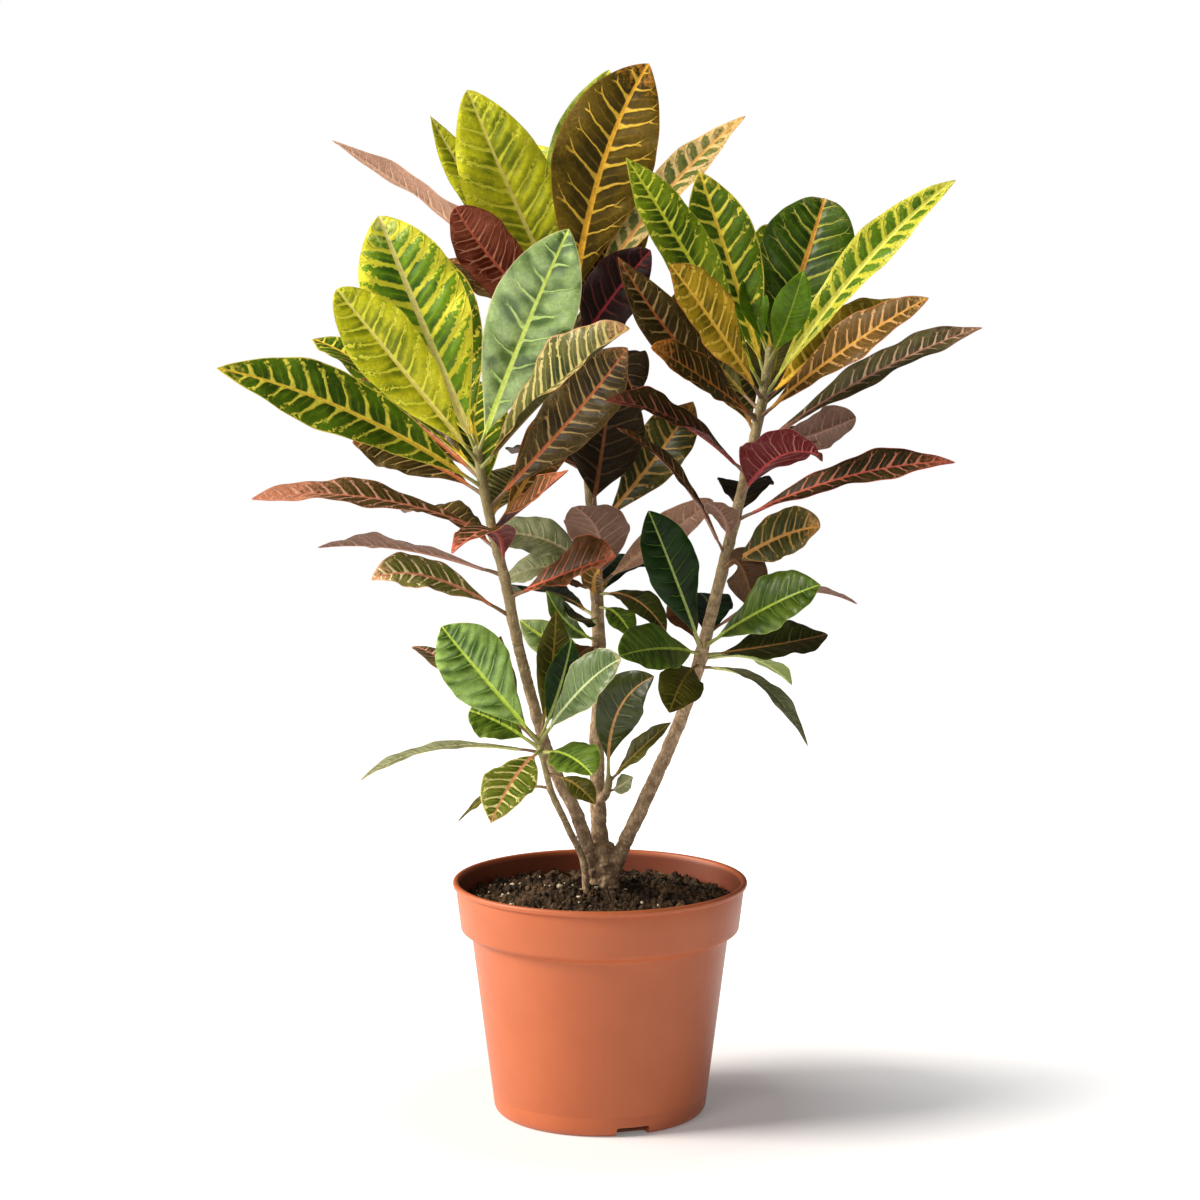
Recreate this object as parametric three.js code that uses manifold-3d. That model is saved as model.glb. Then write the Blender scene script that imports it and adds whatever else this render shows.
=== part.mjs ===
// A croton in a round plastic nursery pot, in millimetres, +Z up.
// The origin is the middle of the pot's flat underside, and the plant faces -Y.
// A gnarled stump forks into three bare woody stems. Each stem carries leafy lengths,
// and a thin sucker with leaves of its own stands in the soil beside the stump.

import * as THREE from "three";
import { mergeVertices } from "three/addons/utils/BufferGeometryUtils.js";
import Module from "manifold-3d";

const wasm = await Module();
wasm.setup();

// ---------------------------------------------------------------- driving sizes

const CLEARANCE = 0.3; // air between pieces that touch
const ROUND_SIDES = 40; // facets round the pot and the soil
const WELD = 1e-4; // points closer than this are one point

const POT = {
  height: 152,
  lipRadius: 95,
  lipHeight: 4,
  bandTopRadius: 93.4,
  bandFootRadius: 90,
  bandFootLevel: 121.5,
  shoulderRadius: 83,
  shoulderLevel: 116.5,
  footRadius: 69,
  footLevel: 6,
  baseRadius: 64,
  footCorner: { inset: 1, rise: 0.4 }, // where the rounded foot bends hardest
  floorInset: 1, // of the floor's edge inside
  wall: 2.2,
  floor: 3,
  rounding: 1.2, // of the lip and of the corner under the rim band
  cornerSteps: 3,
};

// Slots cut up into the pot's foot, for the water to drain.
const DRAIN = { count: 3, width: 22, height: 6, innerRadius: 57, outreach: 6, firstAngle: -72 };

const SOIL = {
  edgeLevel: 137,
  edgeInset: 1.6, // the surface lies lower than the rim, where the pot is a little narrower
  footInset: 1.5, // from the corner of the pot's floor
  mound: 11,
  moundSpread: 51,
  lump: 1.6,
  broadLumps: { x: 0.19, y: 0.23, start: 1.3 }, // radians per mm
  slantLumps: { x: 0.37, y: 0.31 },
  rings: 6,
};

// Plain holes in the soil for the stems, cut from well above the soil.
const SOCKET = { extraRadius: 0.5, sides: 16, cutLevel: 178 };

const STUMP = {
  foot: [2, 4, 120],
  radii: [
    [120, 9.4],
    [140, 10.2],
    [150, 10.8],
    [158, 9.8],
    [166, 9],
    [174, 6.6],
  ],
  sides: 10,
  knots: 0.08, // of the radius, above the buried part
  buriedTo: 145,
};

const WOODY = { knots: 0.05, sides: 8, step: 14, growing: 0 };
const LEAFY = { knots: 0, sides: 6, step: 22 };
const BUD = 0.4; // how far a growing tip narrows

const LEAF = {
  stalk: 11, // length of the leaf stalk
  stalkRadius: 1.5,
  halfThickness: 0.36, // across the folded halves
  ribDrop: 1.1, // how far the midrib stands out of the underside at the leaf's foot
  broadest: 1.2, // power that sets where along the blade it is broadest
  fullness: 0.9, // power that sets how full the outline is
  waveHeight: 0.05, // of the width
  waves: 2.4,
  waveLag: 0.2, // how far the two edges' waves are apart, in waves
  waveShift: 0.37, // from each leaf of a set to the next, in waves
  tipHalfWidth: 0.6,
  steps: 7,
  smallSteps: 5,
  smallWidth: 25,
  longestStalk: 0.3, // of the midrib
};

// Each stem: the points that its axis runs through, its radius at the foot and at the tip.
const LEFT_STEM = {
  path: [
    [-3, 1, 150],
    [-8, -2, 174],
    [-17, -5, 200],
    [-27, -8, 220],
    [-38, -12, 252],
    [-52, -18, 308],
    [-60, -22, 350],
    [-69, -25, 388],
    [-76, -25, 425],
    [-77, -25, 436],
  ],
  footRadius: 4.8,
  tipRadius: 2.6,
  leafyFrom: 308,
};

const CENTRE_STEM = {
  path: [
    [2, 5, 150],
    [-1, 9, 190],
    [-2, 14, 241],
    [0, 20, 278],
    [-2, 30, 330],
    [-5, 42, 381],
    [-10, 54, 438],
    [-18, 65, 509],
    [-19, 67, 521],
  ],
  footRadius: 5.6,
  tipRadius: 2.6,
  leafyFrom: 286,
  crownFrom: 352,
};

const RIGHT_STEM = {
  path: [
    [6, 2, 150],
    [16, -1, 176],
    [35, -4, 218],
    [56, -8, 270],
    [70, -8, 322],
    [84, -8, 380],
    [99, -5, 443],
    [106, 0, 481],
    [108, 2, 496],
  ],
  footRadius: 5.2,
  tipRadius: 2.6,
  leafyFrom: 280,
  crownFrom: 326,
};

const SUCKER_STEM = {
  path: [
    [-9, -15, 118],
    [-9, -15, 134],
    [-9, -15, 150],
    [-11, -16, 168],
    [-21, -20, 191],
    [-30, -24, 212],
    [-35, -28, 230],
    [-38, -30, 247],
    [-38, -30, 252],
  ],
  footRadius: 2.6,
  tipRadius: 1.7,
};

// A short side twig on the centre stem. The trunk holds its first stretch, the stub.
const TWIG_STEM = {
  path: [
    [-2, 10, 201],
    [3, 3, 206],
    [5, -4, 213],
    [6, -8, 222],
  ],
  footRadius: 3.4,
  tipRadius: 2,
  leafyFrom: 206,
  stubStep: 6, // between the rings of the stub
};

// Each leaf: level of its root on the stem, the middle of its midrib, its tip, its full
// width, the way its upper face looks, the angle in degrees that each half is folded up, and
// how blunt its tip is, from 0, pointed, to about 0.5, round.
const LEFT_CROWN_LEAVES = {
  // round the growing tip
  gold_top: [428, [-111, -22, 511], [-138, -18, 578], 66, [0.1, -1, 0.35], 12, 0.2],
  lime_front: [424, [-124, -62, 488], [-160, -78, 535], 46, [-0.2, -1, 0.7], 14, 0.3],
  pale_right: [430, [-46, -60, 509], [-19, -68, 571], 54, [0.15, -1, 0.3], 12, 0.1],
  folded_right: [420, [-27, -80, 475], [18, -92, 512], 50, [-0.5, -0.6, 0.8], 34, 0.3],
  // long ones to the left
  long_left: [408, [-155, -50, 458], [-235, -66, 486], 45, [0, -0.9, 0.6], 14],
  rose_left: [378, [-144, -30, 402], [-218, -36, 402], 36, [0, -0.35, 1], 12, 0.2],
  dark_left: [403, [-118, 4, 425], [-158, 10, 434], 38, [0, -0.8, 0.7], 14, 0.2],
  orange_left: [413, [-121, 18, 448], [-157, 36, 470], 38, [0, -0.9, 0.4], 14, 0.2],
  thin_left: [352, [-125, 5, 366], [-181, 12, 366], 38, [0.1, 0.3, 1], 12],
  low_left: [325, [-107, -30, 352], [-143, -42, 352], 34, [0, -0.6, 0.9], 12],
  // short and dark ones to the front and right
  coral_front: [383, [-52, -68, 397], [-19, -104, 427], 34, [-0.5, -0.5, 1], 18],
  maroon_front: [356, [-66, -66, 386], [-90, -104, 376], 32, [0.3, 0.6, 1], 10, 0.2],
  dull_right: [380, [-39, -2, 425], [-20, 2, 465], 32, [0.3, -1, 0.2], 10],
  olive_right: [395, [-16, -38, 455], [17, -55, 498], 46, [-0.2, -1, 0.4], 14, 0.1],
  coral_right: [338, [-19, -60, 359], [10, -84, 372], 44, [0, -0.8, 0.9], 22],
  // behind
  back_high: [430, [-100, 25, 500], [-120, 60, 560], 54, [0, -1, 0.6], 12, 0.3],
  back_left: [415, [-140, 48, 470], [-190, 90, 495], 44, [0.3, -0.5, 1], 14],
  back_out: [400, [-82, 50, 440], [-90, 120, 468], 48, [0, -0.5, 1], 12, 0.2],
  back_low: [368, [-100, 34, 385], [-130, 90, 380], 38, [0, 0, 1], 12],
  back_right: [388, [-60, 45, 402], [-52, 112, 410], 36, [0, -0.2, 1], 12],
};

const CENTRE_CROWN_LEAVES = {
  // tall ones round the growing tip
  lime_tall: [508, [-51, 52, 577], [-85, 48, 657], 62, [0.1, -1, 0.25], 10, 0.2],
  bronze_tall: [512, [0, 38, 604], [31, 30, 673], 66, [-0.1, -1, 0.2], 9, 0.1],
  lime_behind: [514, [-16, 92, 596], [6, 108, 671], 44, [0, -1, 0.3], 12, 0.1],
  thin_behind: [505, [-72, 98, 576], [-112, 112, 641], 28, [0.4, -1, 0.3], 12],
  pink_left: [500, [-91, 100, 567], [-176, 96, 625], 42, [0.45, 0.45, 1], 12],
  cream_right: [505, [38, 96, 584], [96, 112, 641], 33, [-0.6, -0.8, 0.5], 14],
  maroon_left: [490, [-64, 18, 544], [-91, -4, 583], 42, [0.1, -1, 0.5], 12, 0.35],
  maroon_right: [488, [4, 28, 520], [32, 4, 556], 44, [-0.2, -1, 0.4], 12, 0.3],
  purple_front: [470, [8, 20, 485], [22, -15, 462], 38, [0, -0.6, 0.9], 12],
  // dark ones lower down the stem
  dark_low: [385, [2, 22, 432], [8, 2, 478], 52, [0, -1, 0.1], 10, 0.3],
  green_low: [372, [35, 30, 421], [60, 36, 458], 38, [-0.3, -1, 0.3], 12],
  // behind
  back_tall: [512, [-32, 112, 570], [-46, 150, 622], 58, [0, -1, 0.5], 12, 0.3],
  back_right: [500, [6, 118, 552], [20, 168, 592], 52, [-0.2, -0.8, 1], 12, 0.2],
  back_left: [490, [-60, 115, 525], [-105, 170, 545], 50, [0.2, -0.6, 1], 12],
  back_out: [475, [-10, 120, 500], [-5, 190, 500], 46, [0, -0.2, 1], 12, 0.3],
  side_left: [455, [-55, 78, 475], [-110, 95, 492], 40, [0, -0.4, 1], 12],
  back_low_right: [430, [22, 92, 448], [50, 140, 440], 38, [0, 0, 1], 12],
  back_low_left: [410, [-35, 85, 420], [-60, 140, 415], 38, [0, 0, 1], 12],
};

const RIGHT_CROWN_LEAVES = {
  // round the growing tip
  gold_left: [468, [57, -28, 549], [16, -40, 614], 37, [0.3, -1, 0.4], 12],
  gold_upright: [475, [83, 12, 545], [63, 20, 605], 44, [0, -1, 0.3], 12, 0.1],
  orange_rib: [478, [128, 24, 540], [144, 38, 588], 62, [-0.1, -1, 0.35], 10, 0.45],
  yellow_long: [462, [163, -8, 544], [223, -4, 600], 32, [-0.5, -1, 0.6], 24],
  young_upright: [485, [117, -28, 514], [126, -36, 545], 24, [0, -1, 0.2], 14],
  young_curled: [488, [98, 6, 515], [92, 12, 540], 22, [0.3, -1, 0], 30],
  bronze_right: [450, [150, -45, 495], [201, -66, 529], 34, [-0.3, -0.9, 0.8], 16, 0.1],
  rose_thin: [430, [172, -24, 480], [238, -32, 509], 36, [-0.2, -0.5, 1], 14],
  bronze_left: [462, [70, -54, 512], [42, -82, 550], 40, [0.4, -1, 0.5], 14, 0.1],
  olive_left: [450, [52, -28, 495], [11, -34, 553], 32, [0.3, -1, 0.3], 12],
  dark_behind: [455, [66, 34, 495], [50, 56, 528], 40, [0.2, -1, 0.3], 12],
  // darker ones lower down
  orange_tip: [448, [64, -46, 478], [31, -74, 499], 32, [0.2, -1, 0.9], 16, 0.3],
  red_dark: [415, [50, -62, 452], [3, -92, 468], 36, [0.4, -0.5, 1], 20],
  dark_narrow: [362, [50, -36, 415], [10, -60, 449], 20, [0.5, -0.5, 1], 14],
  crimson: [400, [109, -62, 431], [133, -88, 435], 52, [-0.2, 0.7, 0.7], 10, 0.35],
  mauve_right: [428, [138, 28, 438], [166, 46, 447], 30, [0.2, 1, 0.4], 10, 0.3],
  rose_right: [385, [155, -34, 416], [221, -44, 426], 33, [0, -0.6, 1], 14],
  mauve_left: [368, [78, -34, 390], [66, -54, 402], 22, [0.2, 0.5, 1], 10],
  gold_low: [354, [110, -42, 378], [136, -66, 388], 34, [0, -1, 0.5], 12, 0.3],
  brown_hanging: [352, [88, -22, 360], [97, -28, 332], 30, [0.2, 1, 0.3], 10, 0.3],
  // behind
  back_high: [480, [116, 62, 535], [126, 112, 570], 52, [0, -1, 0.6], 12, 0.3],
  back_side: [460, [160, 58, 500], [210, 105, 520], 46, [-0.3, -0.6, 1], 12, 0.2],
  back_out: [450, [115, 78, 480], [120, 150, 495], 48, [0, -0.4, 1], 12],
  back_left: [440, [82, 62, 468], [64, 124, 478], 44, [0.1, -0.4, 1], 12],
  back_low: [410, [130, 48, 430], [165, 102, 435], 38, [0, 0, 1], 12],
  back_low_left: [385, [95, 52, 400], [92, 112, 396], 38, [0, -0.1, 1], 12],
};

const RIGHT_LOWER_LEAVES = {
  upright_green: [302, [46, -42, 356], [30, -54, 397], 36, [0.3, -1, 0.2], 10, 0.1],
  green_right: [304, [103, -44, 334], [137, -58, 351], 42, [0, -0.8, 0.7], 10],
  dark_right: [299, [109, -6, 305], [146, 4, 311], 38, [0, -0.5, 1], 10, 0.1],
  green_left: [300, [38, -52, 310], [12, -90, 311], 36, [0.1, -1, 0.6], 10, 0.3],
  down_left: [293, [52, -46, 289], [43, -72, 273], 30, [0.2, -0.8, 0.6], 12, 0.1],
  drooping_right: [291, [100, -36, 286], [130, -56, 249], 20, [0.5, -0.3, 1], 12],
  behind_right: [296, [98, 30, 292], [127, 66, 268], 24, [0, 0, 1], 10],
  mauve_tip: [312, [120, 24, 335], [168, 44, 325], 24, [0, 0.2, 1], 10],
  red_brown: [300, [56, 14, 318], [44, 32, 328], 20, [0, -1, 0.5], 10],
  back_green: [306, [72, 52, 320], [66, 108, 324], 32, [0, -0.2, 1], 10],
};

const CENTRE_LOWER_LEAVES = {
  green_up_left: [304, [-20, 0, 318], [-34, -24, 343], 20, [0.5, -1, 0.5], 10],
  green_front: [318, [-12, -8, 322], [-20, -32, 328], 24, [0, -0.8, 0.6], 10],
  olive_up: [325, [-4, 8, 344], [0, -6, 354], 18, [0, -1, 0.2], 10],
  green_right: [325, [10, 6, 324], [21, -6, 310], 19, [0.2, -0.8, 0.6], 10],
  brown_left: [336, [-14, 14, 342], [-29, 2, 347], 16, [0, -0.5, 1], 10],
  brown_low: [300, [-8, 6, 301], [-16, -12, 298], 16, [0, -0.7, 0.7], 10],
  black_green: [333, [22, 0, 334], [42, -16, 315], 22, [0.3, -0.8, 0.6], 12],
  mauve_front: [338, [0, -2, 374], [-16, -40, 398], 42, [0, 0.6, 0.8], 10, 0.15],
  pale_left: [344, [-35, 52, 366], [-74, 64, 368], 30, [0, -0.8, 0.7], 10, 0.3],
  pale_low_left: [340, [-32, 56, 348], [-64, 74, 336], 26, [0, -0.7, 0.8], 10, 0.3],
  pink_right: [338, [38, 38, 368], [74, 54, 392], 26, [0.2, 1, 0.5], 10, 0.3],
  pale_behind: [298, [-26, 18, 302], [-52, 22, 318], 24, [0, -1, 0.4], 10],
  back_right: [330, [14, 78, 345], [30, 128, 345], 34, [0, 0, 1], 10],
  back_left: [318, [-35, 72, 330], [-60, 114, 322], 32, [0, 0, 1], 10],
};

const SUCKER_LEAVES = {
  green_big: [246, [-74, -60, 295], [-98, -72, 327], 47, [0.1, -1, 0.5], 10, 0.1],
  grey_green: [247, [-11, -64, 287], [13, -88, 309], 33, [-0.3, -1, 0.6], 10, 0.25],
  cream_barred: [242, [-53, -66, 231], [-67, -100, 209], 34, [-0.2, -0.9, 0.6], 10],
  edge_on_left: [240, [-101, -40, 245], [-151, -52, 226], 20, [-0.1, -0.1, 1], 10],
  dark_left: [242, [-62, -28, 258], [-83, -24, 266], 34, [0, -0.7, 0.7], 10, 0.3],
  green_front: [240, [-20, -62, 244], [-5, -90, 237], 32, [0, -0.7, 0.7], 10, 0.3],
  dark_low_left: [216, [-62, -10, 212], [-92, 8, 188], 18, [-0.3, -0.3, 1], 10],
  mauve_behind: [245, [-90, -8, 288], [-122, 30, 299], 20, [0, -0.3, 1], 10],
  olive_left: [248, [-62, -28, 280], [-63, -10, 312], 22, [0.3, -1, 0.2], 10],
  olive_upright: [249, [-31, -26, 290], [-28, -22, 330], 23, [0.3, -1, 0.1], 10],
  dark_upright: [249, [-26, -34, 281], [-18, -36, 314], 22, [0.2, -1, 0.2], 10],
  dark_low_right: [226, [-17, -38, 222], [-3, -50, 211], 16, [0, -0.8, 0.6], 10],
};

const TWIG_LEAVES = {
  glossy_dark: [218, [11, -28, 265], [34, -42, 291], 33, [-0.1, -1, 0.5], 10, 0.1],
  olive_curved: [216, [22, -18, 236], [45, -26, 259], 20, [-0.5, -0.6, 0.8], 14],
  dark_small: [210, [12, -10, 214], [21, -16, 222], 14, [0, -0.8, 0.6], 10],
};

// ---------------------------------------------------------------- solids

/** A closed geometry as a solid that can be joined and cut. */
function toSolid(geometry) {
  geometry.deleteAttribute("normal");
  geometry.deleteAttribute("uv");
  const merged = mergeVertices(geometry, WELD);
  const index = merged.index.array;
  const triangles = [];
  for (let i = 0; i < index.length; i += 3) {
    const [a, b, c] = [index[i], index[i + 1], index[i + 2]];
    if (a !== b && b !== c && c !== a) triangles.push(a, b, c);
  }
  return new wasm.Manifold(
    new wasm.Mesh({
      numProp: 3,
      vertProperties: new Float32Array(merged.attributes.position.array),
      triVerts: new Uint32Array(triangles),
    }),
  );
}

/** A solid as a named mesh with its own material. */
function toMesh(name, solid, color, roughness) {
  const { vertProperties, triVerts } = solid.getMesh();
  const geometry = new THREE.BufferGeometry();
  geometry.setAttribute("position", new THREE.BufferAttribute(vertProperties, 3));
  geometry.setIndex(new THREE.BufferAttribute(triVerts, 1));
  geometry.computeVertexNormals();
  const material = new THREE.MeshStandardMaterial({ color, roughness, metalness: 0 });
  const mesh = new THREE.Mesh(geometry, material);
  mesh.name = name;
  return mesh;
}

/**
 * A closed body through rings of points, all with as many points, capped at both ends.
 * A strip of the body is split along its other diagonal where `flipped` names it.
 */
function loft(rings, flipped = []) {
  const count = rings[0].length;
  const positions = rings.flat().flatMap((point) => [point.x, point.y, point.z]);
  const index = [];
  for (let r = 0; r + 1 < rings.length; r += 1) {
    for (let k = 0; k < count; k += 1) {
      const next = (k + 1) % count;
      const [a, b] = [r * count + k, r * count + next];
      const [c, d] = [a + count, b + count];
      if (flipped.includes(k)) index.push(a, b, c, b, d, c);
      else index.push(a, b, d, a, d, c);
    }
  }
  const last = (rings.length - 1) * count;
  for (let k = 1; k + 1 < count; k += 1) {
    index.push(0, k + 1, k);
    index.push(last, last + k, last + k + 1);
  }
  const geometry = new THREE.BufferGeometry();
  geometry.setAttribute("position", new THREE.Float32BufferAttribute(positions, 3));
  geometry.setIndex(index);
  return toSolid(geometry);
}

// ---------------------------------------------------------------- stems

const BACKWARD = new THREE.Vector3(0, 1, 0);
const HALVINGS = 40; // enough to place a point on a stem far finer than any clearance

/** The smooth axis of a stem. */
function axisOf(stem) {
  const points = stem.path.map((point) => new THREE.Vector3(...point));
  return new THREE.CatmullRomCurve3(points, false, "catmullrom", 0.5);
}

/** The level of a stem's foot. */
function footLevel(stem) {
  return stem.path[0][2];
}

/** The level of a stem's growing tip. */
function tipLevel(stem) {
  return stem.path.at(-1)[2];
}

/** Where along its axis, from 0 to 1, a stem passes a level. Stems only rise. */
function placeAtLevel(axis, level) {
  let [low, high] = [0, 1];
  for (let step = 0; step < HALVINGS; step += 1) {
    const middle = (low + high) / 2;
    if (axis.getPoint(middle).z < level) low = middle;
    else high = middle;
  }
  return (low + high) / 2;
}

/** A ring of points square to an axis, with the radius given for each angle. */
function ringAt(axis, place, sides, radiusAt) {
  const centre = axis.getPoint(place);
  const along = axis.getTangent(place);
  const across = new THREE.Vector3().crossVectors(BACKWARD, along).normalize();
  const over = new THREE.Vector3().crossVectors(along, across);
  const ring = [];
  for (let k = 0; k < sides; k += 1) {
    const angle = (2 * Math.PI * k) / sides;
    const radius = radiusAt(angle);
    ring.push(
      centre
        .clone()
        .addScaledVector(across, radius * Math.cos(angle))
        .addScaledVector(over, radius * Math.sin(angle)),
    );
  }
  return ring;
}

/** The length of a stem between two levels, slightly knotty where it is woody. */
function stemLength(stem, fromLevel, toLevel, { knots, sides, step, growing }) {
  const axis = axisOf(stem);
  const length = axis.getLength();
  const gap = fromLevel > footLevel(stem) ? CLEARANCE / 2 / length : 0;
  const topGap = growing ? 0 : CLEARANCE / 2 / length;
  const start = placeAtLevel(axis, fromLevel) + gap;
  const end = placeAtLevel(axis, toLevel) - topGap;
  const count = Math.max(2, Math.round(((end - start) * length) / step));
  const rings = [];
  for (let i = 0; i <= count; i += 1) {
    const place = start + ((end - start) * i) / count;
    const taper = THREE.MathUtils.lerp(stem.footRadius, stem.tipRadius, place);
    const bud = growing && i === count ? growing : 1;
    const ends = i === 0 || i === count ? 0 : knots;
    const radiusAt = (angle) => taper * bud * (1 + ends * Math.sin(3 * i + 2 * angle));
    rings.push(ringAt(axis, place, sides, radiusAt));
  }
  return loft(rings);
}

// ---------------------------------------------------------------- leaves

// Strips of a blade that are split the other way, so that both faces are split alike
// and the right half is a mirror image of the left one.
const OTHER_DIAGONAL = [1, 4];

/** How broad a blade is at a place from 0 at its foot to 1 at its tip, as a share of its width. */
function bladeOutline(place, bluntness) {
  const fullness = LEAF.fullness - bluntness * place;
  return Math.sin(Math.PI * place ** LEAF.broadest) ** fullness || 0;
}

/** One leaf with its stalk, thin, folded along the midrib and waved along its edges. */
function leafSolid(axis, [level, middle, tip, width, facing, fold, bluntness = 0], seed) {
  const root = axis.getPoint(placeAtLevel(axis, level));
  const end = new THREE.Vector3(...tip);
  const bend = new THREE.Vector3(...middle)
    .multiplyScalar(2)
    .addScaledVector(root, -0.5)
    .addScaledVector(end, -0.5);
  const midrib = new THREE.QuadraticBezierCurve3(root, bend, end);
  const foldAngle = THREE.MathUtils.degToRad(fold);
  const stalkShare = Math.min(LEAF.stalk / midrib.getLength(), LEAF.longestStalk);
  const steps = width < LEAF.smallWidth ? LEAF.smallSteps : LEAF.steps;
  const lookAt = new THREE.Vector3(...facing);
  const skin = LEAF.halfThickness / Math.cos(foldAngle);
  const rings = [stalkRing(leafFrame(midrib, 0, lookAt))];
  for (let i = 0; i <= steps; i += 1) {
    const share = i / steps;
    const place = stalkShare + (1 - stalkShare) * share;
    const outline = bladeOutline(share, bluntness);
    const half = Math.max((width / 2) * outline, i === 0 ? LEAF.stalkRadius : LEAF.tipHalfWidth);
    const wave = LEAF.waveHeight * width * outline;
    const lift = [-1, 1].map((side) => {
      const turns = LEAF.waves * share + seed + LEAF.waveLag * side;
      const ripple = Math.sin(2 * Math.PI * turns);
      return half * Math.sin(foldAngle) + wave * ripple;
    });
    const ribDepth = skin + LEAF.ribDrop * (1 - share);
    const frame = leafFrame(midrib, place, lookAt);
    rings.push(bladeRing(frame, half * Math.cos(foldAngle), lift, skin, ribDepth));
  }
  return loft(rings, OTHER_DIAGONAL);
}

/** The midrib's point, its side direction and its upward direction at a place on a leaf. */
function leafFrame(midrib, place, lookAt) {
  const point = midrib.getPoint(place);
  const along = midrib.getTangent(place);
  const upper = lookAt.clone().addScaledVector(along, -lookAt.dot(along)).normalize();
  const side = new THREE.Vector3().crossVectors(along, upper);
  return { point, side, upper };
}

/** Six points round a blade: both edges and the midrib, above and below. */
function bladeRing({ point, side, upper }, reach, [leftLift, rightLift], skin, ribDepth) {
  const at = (across, height) =>
    point.clone().addScaledVector(side, across).addScaledVector(upper, height);
  return [
    at(-reach, leftLift + skin),
    at(0, skin),
    at(reach, rightLift + skin),
    at(reach, rightLift - skin),
    at(0, -ribDepth),
    at(-reach, leftLift - skin),
  ];
}

/** Six points round a leaf stalk. */
function stalkRing({ point, side, upper }) {
  return [150, 90, 30, -30, -90, -150].map((degrees) => {
    const angle = THREE.MathUtils.degToRad(degrees);
    return point
      .clone()
      .addScaledVector(side, LEAF.stalkRadius * Math.cos(angle))
      .addScaledVector(upper, LEAF.stalkRadius * Math.sin(angle));
  });
}

/** A length of stem with all its leaves as one solid. */
function leafyLength(stem, fromLevel, toLevel, leaves, growing) {
  const axis = axisOf(stem);
  let solid = stemLength(stem, fromLevel, toLevel, { ...LEAFY, growing });
  Object.values(leaves).forEach((leaf, number) => {
    solid = solid.add(leafSolid(axis, leaf, LEAF.waveShift * number));
  });
  return solid;
}

// ---------------------------------------------------------------- pot and soil

/** The pot's wall seen from the side, from the middle of the underside up and back inside. */
function potProfile() {
  const { wall, height, rounding } = POT;
  const lipFoot = height - POT.lipHeight;
  const corner = new THREE.QuadraticBezierCurve(
    new THREE.Vector2(POT.baseRadius, 0),
    new THREE.Vector2(POT.footRadius - POT.footCorner.inset, POT.footCorner.rise),
    new THREE.Vector2(POT.footRadius, POT.footLevel),
  );
  return [
    new THREE.Vector2(0, 0),
    ...corner.getPoints(POT.cornerSteps),
    new THREE.Vector2(POT.shoulderRadius - rounding, POT.shoulderLevel - 2 * rounding),
    new THREE.Vector2(POT.shoulderRadius, POT.shoulderLevel),
    new THREE.Vector2(POT.bandFootRadius - rounding / 2, POT.bandFootLevel - rounding),
    new THREE.Vector2(POT.bandFootRadius, POT.bandFootLevel),
    new THREE.Vector2(POT.bandTopRadius, lipFoot),
    new THREE.Vector2(POT.lipRadius, lipFoot + rounding / 2),
    new THREE.Vector2(POT.lipRadius, height - rounding),
    new THREE.Vector2(POT.lipRadius - rounding, height),
    new THREE.Vector2(POT.bandTopRadius - wall, height - rounding / 2),
    new THREE.Vector2(POT.bandFootRadius - wall, POT.bandFootLevel),
    new THREE.Vector2(POT.shoulderRadius - wall, POT.shoulderLevel),
    new THREE.Vector2(POT.footRadius - wall, POT.footLevel),
    new THREE.Vector2(POT.baseRadius - POT.floorInset, POT.floor),
    new THREE.Vector2(0, POT.floor),
  ];
}

/** A closed body turned about the Z axis from a profile of radius and height. */
function turned(profile) {
  const geometry = new THREE.LatheGeometry(profile, ROUND_SIDES);
  geometry.rotateX(Math.PI / 2);
  return geometry;
}

function makePot() {
  let pot = toSolid(turned(potProfile()));
  for (let k = 0; k < DRAIN.count; k += 1) {
    const reach = POT.footRadius + DRAIN.outreach - DRAIN.innerRadius;
    const slot = new THREE.BoxGeometry(reach, DRAIN.width, 2 * DRAIN.height);
    slot.translate(DRAIN.innerRadius + reach / 2, 0, 0);
    slot.rotateZ(THREE.MathUtils.degToRad(DRAIN.firstAngle + (360 / DRAIN.count) * k));
    pot = pot.subtract(toSolid(slot));
  }
  return pot;
}

/** Level of the crumbly soil surface: a low mound with lumps, a little lower at the wall. */
function soilLevel(x, y) {
  const { broadLumps, slantLumps } = SOIL;
  const mound = SOIL.mound * Math.exp(-(x * x + y * y) / SOIL.moundSpread ** 2);
  const broad = Math.sin(broadLumps.x * x + broadLumps.start) * Math.cos(broadLumps.y * y);
  const slant = Math.sin(slantLumps.x * x + slantLumps.y * y);
  return SOIL.edgeLevel + mound + SOIL.lump * (broad + slant);
}

function makeSoil(sockets) {
  const inset = POT.wall + CLEARANCE;
  const edge = POT.bandTopRadius - inset - SOIL.edgeInset;
  const profile = [
    new THREE.Vector2(0, POT.floor + CLEARANCE),
    new THREE.Vector2(POT.baseRadius - SOIL.footInset, POT.floor + CLEARANCE),
    new THREE.Vector2(POT.footRadius - inset, POT.footLevel),
    new THREE.Vector2(POT.shoulderRadius - inset, POT.shoulderLevel),
    new THREE.Vector2(POT.bandFootRadius - inset, POT.bandFootLevel),
  ];
  for (let ring = SOIL.rings; ring >= 0; ring -= 1) {
    profile.push(new THREE.Vector2((edge * ring) / SOIL.rings, POT.height));
  }
  const geometry = turned(profile);
  const position = geometry.attributes.position;
  for (let i = 0; i < position.count; i += 1) {
    if (position.getZ(i) > POT.bandFootLevel) {
      position.setZ(i, soilLevel(position.getX(i), position.getY(i)));
    }
  }
  let soil = toSolid(geometry);
  for (const socket of sockets) soil = soil.subtract(socket);
  return soil;
}

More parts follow.
